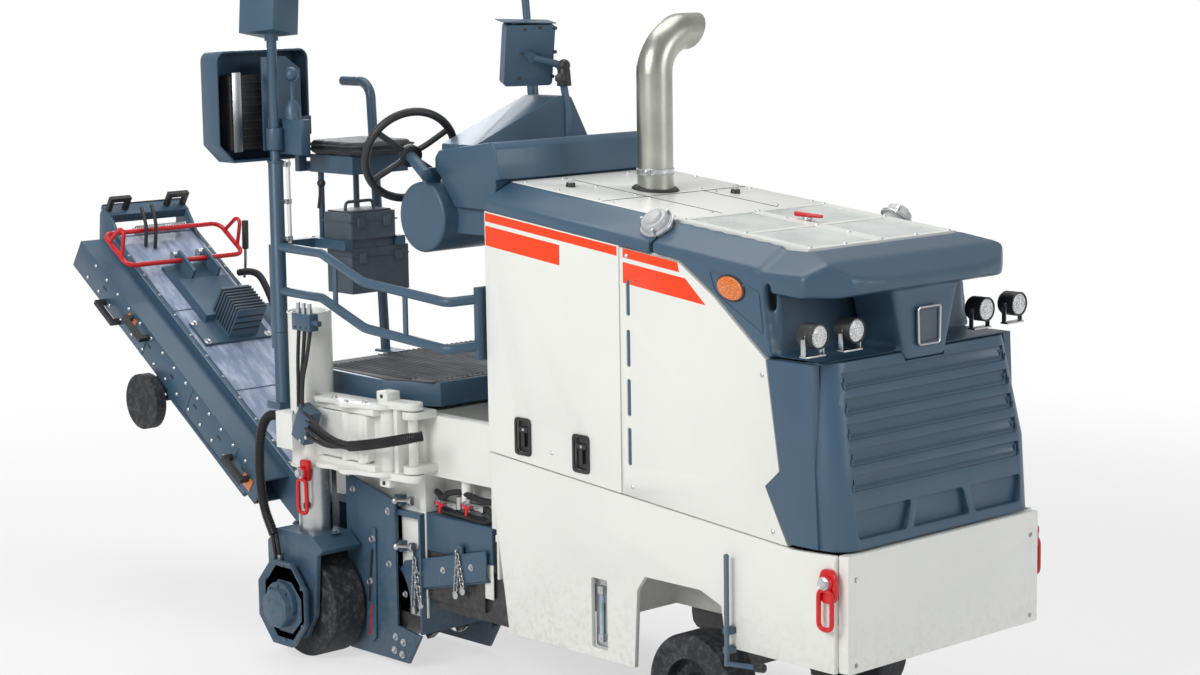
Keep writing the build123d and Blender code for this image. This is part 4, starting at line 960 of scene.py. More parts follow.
# ballast plate bolts and the two lifting eyes
plateBolts = [(0.0, y, z) for y in (-0.475, 0.492) for z in (0.757, 0.442)] + [(0.0, 0.016, 0.441)]
made = [(boltRow("bolt", [(0.0 - 0.0075, y, z) for x, y, z in plateBolts], (1, 0, 0), 0.0085, 0.0072, 6,
                 0.012), "zinc")]
gather("plate_bolts", made)


def liftingEye(side):
    face = side * 0.540
    made = Kit()
    lug = sidePlate("lug", roundedCorners([(-0.100, 0.700), (-0.098, 0.772), (-0.085, 0.797),
                                           (-0.040, 0.797), (-0.026, 0.772), (-0.024, 0.700),
                                           (-0.040, 0.678), (-0.084, 0.678)], 0.014), face, side * 0.021,
                    0.004)
    made.put("red", lug)
    made.put("red", bar("collar", (-0.062, face + side * 0.018, 0.752),
                        (-0.062, face + side * 0.034, 0.752), 0.029, 30, round=0.003))
    head = boltRow("head", [(-0.062, face + side * 0.034, 0.752)], (0, side, 0), 0.019, 0.016, 6, 0.0235)
    made.put("zinc", head)
    path = rounded([(-0.062 + a, face + side * 0.028, z) for a,
                    z in ((-0.030, 0.726), (-0.030, 0.589), (0.030, 0.589), (0.030, 0.726))], 0.028, 6,
                   closed=True)
    link = tube("link", path + [path[0]], 0.0088, 12, smooth=False)
    weld(link, 0.002)
    made.put("red", link)
    return made


parts = gather("lifting_eye", liftingEye(-1) + liftingEye(1))
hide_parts("lifting_eyes")

# doors: latches, vents, screws; the amber side markers
def doorLatch(side, x, z):
    face = side * 0.540
    made = Kit()
    frameOutline = roundedCorners(around(x, z, 0.047, 0.073), 0.018)
    tray = sidePlate("tray", frameOutline, face + side * 0.0002, side * 0.0052, 0.0015)
    hole = sidePlate("hole", roundedCorners(around(x, z, 0.035, 0.061), 0.013), face - side * 0.02,
                     side * 0.04)
    made.put("plastic", cutOut(tray, hole))
    pan = sidePlate("pan", roundedCorners(around(x, z, 0.0355, 0.0615), 0.0138), face - side * 0.0098,
                    side * 0.0015)
    made.put("black", pan)
    grip = sidePlate("grip", roundedCorners([(x - 0.0095, z - 0.040), (x + 0.0095, z - 0.040),
                                             (x + 0.0085, z + 0.022), (x - 0.0085, z + 0.022)], 0.006),
                     face - side * 0.0085, side * 0.0125, 0.002)
    cross = sidePlate("cross", roundedCorners([(x - 0.026, z + 0.016), (x + 0.026, z + 0.016),
                                               (x + 0.026, z + 0.038), (x - 0.026, z + 0.038)], 0.007),
                      face - side * 0.0085, side * 0.010, 0.002)
    made += [(grip, "plastic"), (cross, "plastic")]
    made.put("steel", bar("lock", (x, face - side * 0.004, z + 0.027),
                          (x, face + side * 0.0028, z + 0.027), 0.0065, 16, round=0.0006))
    return made


for side, word in ((-1, "right"), (1, "left")):
    made = Kit()
    for x, z in latchSpots:
        made += doorLatch(side, x, z)
    made.put("zinc", domeRow("rivets", [(-1.473, side * 0.540, 1.010)], (0, side, 0), 0.0075, 0.004))
    gather("door_latch_" + word, made, "side_door_" + word)

made = Kit()
for side in (-1, 1):
    for high, low in ventSpots:
        outline = around(ventX, (high + low) / 2, 0.0092, (high - low) / 2 - 0.0003)
        backing = sidePlate("vent", roundedCorners(outline, 0.0088, 4), side * 0.5335, side * 0.0022)
        made.put("slate", backing)
    spots = [(-1.031, 0.943), (-0.378, 1.430), (-0.330, 0.884), (-1.052, 1.793)]
    made.put("zinc", domeRow("screws", [(x, side * 0.540, z) for x, z in spots], (0, side, 0), 0.0085,
                             0.0042))
gather("panel_trim", made)

def ovalOutline(cx, cz, wide, tall, degrees, count=40):
    a = math.radians(degrees)
    spots = [(wide * math.cos(t), tall * math.sin(t)) for t in (math.tau * k / count for k in range(count))]
    return [(cx + u * math.cos(a) - v * math.sin(a), cz + u * math.sin(a) + v * math.cos(a)) for u,
            v in spots]


made = Kit()
for side in (-1, 1):                                    # raised triangle round the marker lamp
    corners = [(-0.632, 1.776), (-0.392, 1.716), (-0.372, 1.570), (-0.600, 1.694)]
    face = side * 0.540
    edgeLine = bentBar("rim", [(x, face, z) for x, z in corners], 0.0042, 0.022, 8, closed=True)
    made.put("slate", edgeLine)
    lens = sidePlate("lens", ovalOutline(-0.523, 1.720, 0.062, 0.040, -12), face - side * 0.002,
                     side * 0.013, 0.0045, 3)
    made.put("amber", lens)
    seat = sidePlate("seat", ovalOutline(-0.523, 1.720, 0.068, 0.046, -12), face - side * 0.002,
                     side * 0.0065, 0.002)
    made.put("plastic", seat)
gather("side_marker", made)

# level gauge behind its slot, guide rod beside the arch
made = Kit()
for side in (-1, 1):
    face = side * 0.520
    back = sidePlate("back", roundedCorners([(-1.262, 0.300), (-1.182, 0.300), (-1.182, 0.562),
                                             (-1.262, 0.562)], 0.012), face, -side * 0.012, 0.002)
    made.put("steel", back)
    made.put("cover", bar("glass", (-1.222, face + side * 0.008, 0.352),
                          (-1.222, face + side * 0.008, 0.508), 0.0085, 20))
    made.put("level", bar("fluid", (-1.222, face + side * 0.008, 0.356),
                          (-1.222, face + side * 0.008, 0.470), 0.0055, 16))
    for z in (0.338, 0.522):
        made.put("zinc", block("cap", (-1.236, face - side * 0.001, z - 0.016),
                               (-1.208, face + side * 0.016, z + 0.016), 0.003))
        made.put("zinc", bar("screw", (-1.222, face + side * 0.014, z), (-1.222, face + side * 0.019, z),
                             0.007, 6))
finishes["level"] = plasticFinish("level_fluid", (0.20, 0.62, 0.04), 0.2, 120, 0.02)
gather("level_gauge", made)

made = Kit()
rod = {"x": -0.526, "y": -0.572, "low": 0.372, "high": 0.770, "radius": 0.0095}
made.put("paleSlate", bar("rod", (rod["x"], rod["y"], rod["low"]), (rod["x"], rod["y"], rod["high"]),
                          rod["radius"], 18, round=0.002))
made.put("paleSlate", ball("tip", (rod["x"], rod["y"], rod["high"]), rod["radius"] * 1.12))
made.put("slate", bentBar("foot", [(rod["x"], rod["y"], rod["low"] + 0.012),
                                   (rod["x"] + 0.03, rod["y"], rod["low"] + 0.012),
                                   (rod["x"] + 0.155, rod["y"] + 0.006, rod["low"] + 0.022)], 0.0095,
                          0.012))
made.put("plastic", bar("grip", (rod["x"] + 0.135, rod["y"] + 0.004, rod["low"] + 0.020),
                        (rod["x"] + 0.175, rod["y"] + 0.008, rod["low"] + 0.024), 0.016, 20, round=0.003))
for z in (0.430, 0.500):
    made.put("slate", block("clip", (rod["x"] - 0.016, -0.579, z - 0.012),
                            (rod["x"] + 0.016, -0.538, z + 0.012), 0.003))
gather("guide_rod", made)
print("front end and body trim are done")

# hoses with a free run: built early, in place, from the route's own NURBS line
def routeOf(points, fine=14):
    line = bpy.data.curves.new("route", "CURVE")
    line.dimensions = "3D"
    spline = line.splines.new("NURBS")
    spline.points.add(len(points) - 1)
    for point, place in zip(spline.points, points):
        point.co = (*place, 1)
    spline.order_u = 3
    spline.use_endpoint_u = True
    spline.resolution_u = fine
    holder = bpy.data.objects.new("route", line)
    bpy.context.scene.collection.objects.link(holder)
    bpy.context.view_layer.update()
    mesh = bpy.data.meshes.new_from_object(holder.evaluated_get(bpy.context.evaluated_depsgraph_get()))
    places = [v.co.copy() for v in mesh.vertices]
    bpy.data.objects.remove(holder)
    return places


def evenSteps(places, step):
    made, carried = [places[0].copy()], 0.0
    for a, b in zip(places, places[1:]):
        length = (b - a).length
        while carried + length >= step:
            t = (step - carried) / length
            a = a.lerp(b, t)
            made.append(a.copy())
            length = (b - a).length
            carried = 0.0
        carried += length
    return made


def ribbedHose(name, points, radius, pitch=0.0085, depth=0.16, sides=22):
    places = evenSteps(routeOf(points), pitch / 4)        # rings of four radii make each rib
    levels = (1.0, 1.0, 1 - depth, 1 - depth)
    clearSelection()
    bpy.ops.mesh.primitive_circle_add(vertices=sides, radius=radius)
    piece = nameActive(name)
    shape = bmesh.new()
    rings = []
    up = Vector((0, -1, 0.3)).normalized()
    for i, place in enumerate(places):
        ahead = (places[min(i + 1, len(places) - 1)] - places[max(i - 1, 0)]).normalized()
        across = ahead.cross(up).normalized()
        over = across.cross(ahead).normalized()
        size = radius * levels[i % 4]
        rings.append([shape.verts.new(place + size * (math.cos(a) * across + math.sin(a) * over))
                      for a in (math.tau * k / sides for k in range(sides))])
    for first, second in zip(rings, rings[1:]):
        for k in range(sides):
            shape.faces.new((first[k], first[(k + 1) % sides], second[(k + 1) % sides], second[k]))
    shape.faces.new(rings[0])
    shape.faces.new(rings[-1])
    bmesh.ops.recalc_face_normals(shape, faces=shape.faces)
    shape.to_mesh(piece.data)
    shape.free()
    return piece


legRoute = [(-2.900, -0.760, 1.010), (-2.946, -0.772, 1.017), (-2.985, -0.783, 0.985),
            (-3.008, -0.787, 0.928), (-3.018, -0.788, 0.850), (-3.020, -0.790, 0.760),
            (-3.012, -0.789, 0.672), (-2.992, -0.788, 0.600), (-2.962, -0.787, 0.548),
            (-2.938, -0.787, 0.510)]
thinRoutes = [[(-2.944, -0.794, 0.524), (-2.936, -0.793, 0.484), (-2.936, -0.785, 0.434),
               (-2.938, -0.778, 0.3863)],
              [(-2.930, -0.782, 0.516), (-2.918, -0.783, 0.476), (-2.914, -0.780, 0.430),
               (-2.914, -0.778, 0.3863)]]
print("hose helpers ready")


# right rear leg
def tiltedBlock(name, centre, size, degrees, axis, round=0.003):
    piece = block(name, [c - s / 2 for c, s in zip(centre, size)],
                  [c + s / 2 for c, s in zip(centre, size)], round)
    return turned(piece, degrees, axis, centre)


legSizes = {"sleeve": (-2.835, -0.650), "sleeveRadius": 0.090, "low": 0.800, "top": 1.440}
leg = legSizes
sx, sy = leg["sleeve"]
made = Kit()
collar = ring("collar", (sx, sy, leg["top"]), (0, 0, 1), leg["sleeveRadius"] - 0.004, 0.0045, 56, 8)
made.put("white", collar)
for z in (leg["low"] + 0.006,):
    made.put("white", ring("foot", (sx, sy, z), (0, 0, 1), leg["sleeveRadius"] - 0.001, 0.005, 56, 8))
shell = sidePlate("shell", roundedCorners([(-2.775, 0.866), (-2.415, 0.866), (-2.415, 1.056),
                                           (-2.775, 1.056)], 0.020), -0.640, -0.050, 0.008, 3)
made.put("white", shell)
for x in (-2.735, -2.560, -2.452):
    made.put("white", bar("post", (x, -0.676, 0.862), (x, -0.676, 1.060), 0.026, 24, round=0.003))
for z, thick in ((1.088, 0.020), (0.834, -0.020)):         # lobed hinge plates
    lobes = [(-2.770, -0.600), (-2.772, -0.664), (-2.735, -0.716), (-2.690, -0.722), (-2.640, -0.705),
             (-2.580, -0.712), (-2.545, -0.738), (-2.505, -0.738), (-2.470, -0.706), (-2.420, -0.700),
             (-2.350, -0.684), (-2.318, -0.640), (-2.326, -0.585), (-2.370, -0.562), (-2.420, -0.580)]
    lobe = flatPlate("lobe", roundedCorners(lobes, 0.022), z, thick, 0.0035, 2)
    made.put("white", lobe)
made.put("white", block("pinHead", (-2.404, -0.646, 1.120), (-2.336, -0.578, 1.158), 0.004))
made.put("white", block("pinFoot", (-2.402, -0.644, 0.768), (-2.338, -0.580, 0.802), 0.004))
for z in (1.139, 0.785):
    made.put("plastic", bar("hole", (-2.370, -0.6475, z), (-2.370, -0.6445, z), 0.0085, 20))
bolts = [(-2.735, -0.690, 1.108), (-2.525, -0.705, 1.108), (-2.640, -0.675, 1.108), (-2.450, -0.670, 1.108)]
made.put("zinc", boltRow("bolts", bolts, (0, 0, 1), 0.009, 0.008, 6, 0.013))
made.put("zinc", boltRow("bolts", [(x, y, 0.814) for x, y, z in bolts], (0, 0, -1), 0.009, 0.008, 6, 0.013))
clamp = tiltedBlock("clamp", (-2.722, -0.762, 1.000), (0.088, 0.056, 0.150), 24, (0, 1, 0), 0.004)
made.put("slate", clamp)
for dx, dz in ((-0.05, 0.045), (-0.012, 0.066), (-0.004, -0.066), (0.036, -0.048)):
    made.put("zinc", bar("screw", (-2.722 + dx, -0.789, 1.0 + dz), (-2.722 + dx, -0.796, 1.0 + dz),
                         0.0085, 6))
fittings = block("fittings", (-2.774, -0.782, 1.385), (-2.654, -0.735, 1.455), 0.004)
made.put("slate", fittings)
made.put("slate", bar("stud", (-2.654, -0.760, 1.420), (-2.615, -0.760, 1.420), 0.012, 14))
made.put("slate", bar("stud", (-2.812, -0.740, 1.420), (-2.774, -0.745, 1.420), 0.012, 14))
for x in (-2.752, -2.714, -2.676):
    made.put("zinc", bar("union", (x, -0.762, 1.455), (x, -0.762, 1.476), 0.011, 6))
    made.put("zinc", bar("nut", (x, -0.762, 1.476), (x, -0.762, 1.498), 0.0085, 12))
    made.put("plastic", bar("dot", (x, -0.7825, 1.398), (x, -0.7845, 1.398), 0.004, 12))
for route in ([(-2.752, -0.762, 1.385), (-2.758, -0.768, 1.28), (-2.748, -0.776, 1.16),
               (-2.742, -0.784, 1.06)],
              [(-2.676, -0.762, 1.385), (-2.690, -0.770, 1.28), (-2.724, -0.778, 1.17),
               (-2.712, -0.786, 1.06)],
              [(-2.714, -0.762, 1.385), (-2.720, -0.766, 1.30), (-2.736, -0.770, 1.18),
               (-2.728, -0.780, 1.06)]):
    made.put("hose", tube("line", route, 0.0078, 12))
fanEnds = [(-2.460, -0.742, 0.946), (-2.458, -0.726, 0.944), (-2.458, -0.738, 0.928),
           (-2.456, -0.724, 0.930), (-2.460, -0.733, 0.937)]
fanStarts = [(-2.706, -0.786, 1.052), (-2.700, -0.780, 1.022), (-2.692, -0.786, 0.988),
             (-2.686, -0.780, 0.955), (-2.704, -0.770, 1.000)]
for start, end in zip(fanStarts, fanEnds):
    mid = (Vector(start) + Vector(end)) / 2 + Vector((0, -0.012, -0.020))
    made.put("hose", tube("fan", [start, tuple(Vector(start) + Vector((0.05, -0.012, -0.006))),
                                  tuple(mid), tuple(Vector(end) + Vector((-0.05, -0.004, 0))), end],
                          0.0082, 12))
eye = sidePlate("eyeLug", roundedCorners([(-2.790, 0.752), (-2.742, 0.752), (-2.738, 0.842),
                                          (-2.796, 0.842)], 0.016), -0.728, -0.022, 0.004)
made.put("red", eye)
made.put("red", bar("eyeCollar", (-2.768, -0.748, 0.790), (-2.768, -0.768, 0.790), 0.027, 28, round=0.003))
made.put("zinc", boltRow("eyeBolt", [(-2.768, -0.768, 0.790)], (0, -1, 0), 0.018, 0.015, 6, 0.022))
path = rounded([(-2.768 + a, -0.760, z) for a,
                z in ((-0.026, 0.762), (-0.028, 0.622), (0.030, 0.622), (0.028, 0.762))], 0.028, 6,
               closed=True)
link = tube("eyeRing", path + [path[0]], 0.0085, 12, smooth=False)
weld(link, 0.002)
made.put("red", link)
gather("leg_trim", made, "leg_carrier")
big = ribbedHose("leg_hose_ribbed", legRoute, 0.021)
thin = [tube("thin", route, 0.008, 14) for route in thinRoutes]
nuts = []
for route in thinRoutes:
    x, y, z = route[-1]
    nuts.append(bar("nut", (x, y, z + 0.040), (x, y, z + 0.018), 0.0105, 6))
    nuts.append(bar("nut", (x, y, z + 0.018), (x, y, z + 0.001), 0.0135, 6))
legHose = joined("leg_hose", [big] + thin)
finishPiece(legHose, "hose", "leg_carrier")
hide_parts("leg_conduit")
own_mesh(legHose)
finishPiece(joined("leg_hose_nuts", nuts), "zinc", "leg_right")
linkRoute = [(-2.470, -0.733, 0.936), (-2.420, -0.738, 0.944), (-2.350, -0.740, 0.958),
             (-2.280, -0.738, 0.972), (-2.210, -0.732, 0.988), (-2.150, -0.720, 1.002),
             (-2.105, -0.696, 1.012), (-2.090, -0.668, 1.016)]
linkHose = ribbedHose("link_hose", linkRoute, 0.0215)
finishPiece(linkHose, "hose", None)
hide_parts("link_conduit")
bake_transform(linkHose)

# wheel yoke and motor of the right rear leg
def octagon(cx, cz, radius, tall=1.0):
    return [(cx + radius * math.cos(math.radians(22.5 + 45 * k)),
             cz + tall * radius * math.sin(math.radians(22.5 + 45 * k))) for k in range(8)]


def wheelMotor(side, cx, cy, cz):
    made = Kit()
    face = cy
    shield = sidePlate("shield", octagon(cx, cz, 0.170, 1.12), face, side * 0.010, 0.003)
    made.put("slate", shield)
    rim = sidePlate("rim", octagon(cx, cz, 0.172, 1.12), face + side * 0.006, side * 0.022, 0.0)
    editFaces(rim, lambda c, n: n.y * side > 0.9, inset(0.024, -0.018))
    made.put("slate", roundEdges(rim, 0.003))
    hub = bar("hub", (cx, face, cz), (cx, face + side * 0.040, cz), 0.092, 44, round=0.004)
    made.put("slate", hub)
    cap = bar("cap", (cx, face + side * 0.040, cz), (cx, face + side * 0.066, cz), 0.070, 44, tip=0.060,
              round=0.003)
    made.put("slate", cap)
    made.put("slate", boltRow("bolts", [(cx + 0.080 * math.cos(a), face + side * 0.040,
                        cz + 0.080 * math.sin(a)) for a in (math.tau * k / 8 for k in range(8))], (0, side,
                        0), 0.008, 0.008, 6))
    tri = [(cx + 0.034 * math.cos(a), face + side * 0.066,
            cz + 0.034 * math.sin(a)) for a in (math.tau * k / 3 + 0.4 for k in range(3))]
    made.put("slate", boltRow("face", tri, (0, side, 0), 0.011, 0.004, 6))
    rims = [(cx + 0.146 * math.cos(a), face + side * 0.010,
             cz + 0.160 * math.sin(a)) for a in (math.tau * (k + 0.5) / 6 for k in range(6))]
    made.put("slate", boltRow("outer", rims, (0, side, 0), 0.009, 0.008, 6))
    return made


gather("wheel_motor_right", wheelMotor(-1, -2.862, -0.7895, 0.235), "leg_right")
made = Kit()
made.put("plastic", bar("columnHole", (-2.800, -0.7165, 0.640), (-2.800, -0.7215, 0.640), 0.016, 24))
made.put("slate", boltRow("yokeBolts",
                          [(-2.965, -0.650, 0.531), (-2.700, -0.650, 0.531), (-2.965, -0.560, 0.531)],
                          (0, 0, 1), 0.012, 0.010, 6, 0.018))
gather("leg_column_trim", made, "leg_right")
print("right leg is done")

# side of the milling unit: closing panel, folded plate with chains, valves in the recess, hinge rods
made = Kit()
made.put("white", sidePlate("closing",
                            [(-2.440, 0.215), (-2.440, 0.655), (-2.285, 0.655), (-2.285, 0.215)], -0.505,
                            0.010, 0.002))
made.put("white", sidePlate("panel", [(-2.285, 0.360), (-2.285, 0.505), (-1.880, 0.505), (-1.880, 0.360)],
                            -0.498, 0.006, 0.002))
fold = [(-2.440, 0.225), (-2.440, 0.395), (-2.405, 0.440), (-1.895, 0.560), (-1.895, 0.440),
        (-2.330, 0.335), (-2.345, 0.225)]
foldPlate = sidePlate("fold", fold, -0.512, -0.010, 0.002)
made.put("slate", foldPlate)
shelf = plate("shelf", [(-2.330, -0.512, 0.335), (-1.895, -0.512, 0.440), (-1.895, -0.470, 0.430),
                        (-2.330, -0.470, 0.325)], (0, 0, -0.008), 0.001)
made.put("slate", shelf)
made.put("zinc", boltRow("foldBolts",
                         [(-2.300, -0.522, 0.405), (-2.160, -0.522, 0.440), (-1.985, -0.522, 0.480),
                          (-2.405, -0.522, 0.300)], (0, -1, 0), 0.0095, 0.008, 6, 0.014))


def chain(top, low):
    links = []
    count = 9
    top, low = Vector(top), Vector(low)
    for k in range(count):
        centre = top.lerp(low, (k + 0.5) / count)
        half = (top - low).length / count * 0.66
        flat = k % 2 == 0
        across = Vector((0.0085, 0, 0)) if flat else Vector((0, 0.0085, 0))
        up = (top - low).normalized()
        corners = [centre + up * half - across, centre + up * half + across, centre - up * half + across,
                   centre - up * half - across]
        loop = rounded([tuple(p) for p in corners], 0.010, 3, closed=True)
        link = tube("link", loop + [loop[0]], 0.0030, 8, smooth=False)
        links.append(weld(link, 0.0006))
    links.append(bar("disc", low + Vector((0, -0.004, -0.016)), low + Vector((0, 0.004, -0.016)), 0.017,
                     24, round=0.001))
    return links


for top, low in (((-2.327, -0.534, 0.462), (-2.345, -0.534, 0.262)), ((-2.054, -0.534, 0.522),
                    (-2.072, -0.534, 0.372)),
                 ((-2.335, -0.530, 0.466), (-2.300, -0.532, 0.290)), ((-2.062, -0.530, 0.526),
                                     (-2.030, -0.532, 0.395))):
    made += [(piece, "steel") for piece in chain(top, low)]
for x, z in ((-2.331, 0.476), (-2.058, 0.536)):
    made.put("slate", sidePlate("lug", roundedCorners([(x - 0.022, z - 0.035), (x + 0.022, z - 0.035),
                                                       (x + 0.018, z + 0.024), (x - 0.018, z + 0.024)],
                                                      0.010), -0.512, -0.012, 0.002))
    made.put("steel", ring("shackle", (x, -0.530, z - 0.004), (1, 0, 0), 0.011, 0.003, 20, 8))
for z, reach in ((0.690, 0.085),
                 (0.500, 0.085)):                          # ball-jointed rods beside the side plate
    made.put("steel", bar("rod", (-2.425, -0.548, z), (-2.425 + reach, -0.540, z + 0.010), 0.0085, 14))
    made.put("steel", ball("joint", (-2.425, -0.548, z), 0.017))
    made.put("zinc", bar("seat", (-2.425 + reach, -0.540, z + 0.010),
                         (-2.425 + reach + 0.020, -0.539, z + 0.012), 0.019, 24, round=0.002))
    made.put("slate", block("holder", (-2.445, -0.538, z - 0.022), (-2.405, -0.505, z + 0.022), 0.003))
made.put("white", bar("pipe", (-2.080, -0.455, 0.805), (-2.080, -0.455, 0.715), 0.022, 26))
for x, z, tip in ((-2.175, 0.700, 0.028), (-2.010, 0.712, 0.028)):
    made.put("steel", bar("body", (x - 0.050, -0.470, z), (x + 0.050, -0.470, z), 0.0165, 20, round=0.002))
    made.put("zinc", bar("nutA", (x - 0.064, -0.470, z), (x - 0.044, -0.470, z), 0.021, 6))
    made.put("zinc", bar("nutB", (x + 0.044, -0.470, z), (x + 0.064, -0.470, z), 0.021, 6))
    made.put("zinc", bar("stem", (x, -0.470, z), (x, -0.515, z), 0.0085, 12))
    for turn in (25, 145, 265):
        a = math.radians(turn)
        made.put("red", bar("wing", (x, -0.515, z),
                            (x + tip * math.cos(a), -0.520, z + tip * math.sin(a)), 0.0085, 12,
                            tip=0.0055))
for route in ([(-2.275, -0.450, 0.735), (-2.240, -0.470, 0.735), (-2.205, -0.472, 0.720),
               (-2.185, -0.470, 0.745), (-2.120, -0.460, 0.758), (-2.040, -0.468, 0.752), (-1.960, -0.470,
                    0.740), (-1.900, -0.455, 0.745)],
              [(-2.275, -0.450, 0.690), (-2.238, -0.475, 0.682), (-2.232, -0.470, 0.700)],
              [(-1.950, -0.470, 0.712), (-1.925, -0.478, 0.716), (-1.905, -0.470, 0.690),
               (-1.925, -0.470, 0.660), (-1.985, -0.470, 0.655), (-2.060, -0.465, 0.660), (-2.150, -0.470,
                                  0.664), (-2.230, -0.475, 0.672)]):
    made.put("hose", tube("hose", route, 0.013, 12))
for x in (-2.110, -2.052):
    made.put("steel", bar("elbow", (x, -0.470, 0.690), (x, -0.470, 0.740), 0.015, 6))
gather("recess_trim", made)

# side plate: slotted guide bar, red mark, bolts
made = Kit()
face = -0.5505
barOutline = [(-2.545, 0.560), (-2.580, 0.560), (-2.625, 0.090), (-2.590, 0.070), (-2.560, 0.090)]
made.put("slate", sidePlate("guide", roundedCorners(barOutline, 0.012), face, -0.012, 0.002))
slot = sidePlate("guideSlot", roundedCorners([(-2.573, 0.470), (-2.557, 0.470), (-2.586, 0.245),
                                              (-2.602, 0.245)], 0.007), face - 0.0112, -0.0012)
made.put("plastic", slot)
made.put("red", sidePlate("mark", [(-2.586, 0.232), (-2.576, 0.232), (-2.590, 0.100), (-2.600, 0.100)],
                          face - 0.0110, -0.0016))
made.put("zinc", boltRow("guideBolts", [(-2.563, -0.5625, 0.512), (-2.585, -0.5625, 0.330)], (0, -1, 0),
                         0.013, 0.009, 6, 0.019))
made.put("zinc", boltRow("toeBolts",
                         [(-2.440, face, 0.120), (-2.390, face, 0.105), (-2.450, face, 0.062),
                          (-2.400, face, 0.052), (-2.470, face, 0.640), (-2.470, face, 0.420),
                          (-2.700, face, 0.700)], (0, -1, 0), 0.0105, 0.009, 6, 0.016))
gather("side_plate_trim", made, "side_plate_right")
print("milling unit's side is done")

# platform: ribbed rubber tread on the deck
made = Kit()
treadTop = 1.1800
ribPitch, ribRadius = 0.0270, 0.0075
for row in range(17):                                   # shorter ribs beside the cut-out corner
    y = -0.470 + row * ribPitch
    start, end = (-2.940, -2.300) if y < -0.160 else (-3.020, -1.915)
    if y < -0.42:
        end -= 0.10
    made.put("belt", bar("rib", (start, y, treadTop), (end, y, treadTop), ribRadius, 8))
for row in range(19):
    y = -0.011 + row * ribPitch
    made.put("belt", bar("rib", (-3.020, y, treadTop), (-1.915, y, treadTop), ribRadius, 8))
tread = flatPlate("mat", [(-2.280, -0.455), (-2.480, -0.530), (-2.930, -0.495), (-3.020, -0.455),
                          (-3.020, 0.485), (-1.915, 0.485), (-1.915, -0.165), (-2.280, -0.165)],
                  treadTop - 0.002, 0.0050)
made.put("belt", tread)
gather("deck_tread", made)

# operator's station
made = Kit()
def screenBack(z):
    return -2.022 - 0.18 * (2.601 - z)


for y, z in ((-0.150, 2.585), (-0.070, 2.590), (0.010, 2.585), (-0.155, 2.392), (0.022, 2.392),
             (-0.155, 2.490), (0.022, 2.490)):
    made.put("plastic", bar("screw", (screenBack(z) - 0.004, y, z), (screenBack(z) + 0.006, y, z), 0.0075,
                            14, round=0.001))
made.put("plastic", bar("clampSleeve", (-1.999, 0.031, 2.355), (-1.999, 0.031, 2.425), 0.030, 24,
                        tip=0.024, round=0.003))
made.put("plastic", ball("clampBall", (-1.999, 0.031, 2.436), 0.026, 20))
made.put("zinc", bar("knobStem", (-1.999, 0.031, 2.390), (-1.960, -0.025, 2.390), 0.0075, 12))
made.put("plastic", bar("knob", (-1.962, -0.022, 2.390), (-1.948, -0.042, 2.390), 0.021, 6, round=0.004))
gather("display_trim", made)
made = Kit()
for y in (-0.230, -0.155, -0.080, -0.005, 0.070, 0.145):
    made.put("plastic", bar("switchBase", (-2.170, y, 2.163), (-2.170, y, 2.170), 0.013, 20))
    made.put("zinc", bar("toggle", (-2.170, y, 2.168), (-2.176, y, 2.188), 0.004, 10, tip=0.006))
made.put("amber", bar("stopBase", (-2.210, -0.300, 2.120), (-2.214, -0.300, 2.138), 0.020, 24))
made.put("red", bar("stop", (-2.214, -0.300, 2.136), (-2.218, -0.300, 2.156), 0.022, 28, round=0.005))
gather("dash_switches", made)
made = Kit()
hub, normal = Vector((-2.378, -0.462, 2.092)), Vector((-0.887, 0.30, 0.353)).normalized()
side = normal.cross(Vector((0, 0, 1))).normalized()
over = side.cross(normal).normalized()


def onWheel(angle, reach, lift=0.0):
    a = math.radians(angle)
    return tuple(hub + side * reach * math.cos(a) + over * reach * math.sin(a) + normal * lift)


made.put("plastic", ring("rim", hub, normal, 0.188, 0.0165, 72, 14))
made.put("plastic", bar("hubCap", tuple(hub - normal * 0.018), tuple(hub + normal * 0.022), 0.048, 36,
                        tip=0.040, round=0.006))
for angle in (35, 145, 215, 325):
    made.put("plastic", tube("spoke", [onWheel(angle, 0.03, 0.0), onWheel(angle, 0.07, -0.006),
                                       onWheel(angle, 0.13, -0.002), onWheel(angle, 0.184, 0.0)], 0.0125,
                             12))
made.put("slate", ring("capSeam", tuple(hub + normal * 0.0225), normal, 0.028, 0.0018, 32, 8))
gather("steering_wheel_finished", made, "steering_wheel")
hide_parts("steering_wheel")
print("platform and dashboard are fitted")

# hood: caps on the rim, exhaust foot, wire mesh in the hatch, red latch, screws
hoodSlope, hoodRear, shoulderSlope, shoulderRear, bodyRear = 0.098, 2.012, 0.107, 1.908, -1.840


def hoodZ(x):
    return hoodRear - (x - bodyRear) * hoodSlope


def shoulderZ(x):
    return shoulderRear - (x - bodyRear) * shoulderSlope


def rimPlace(x, y):
    t = (0.540 - abs(y)) / 0.140
    return Vector((x, y, shoulderZ(x) + t * (hoodZ(x) - shoulderZ(x))))


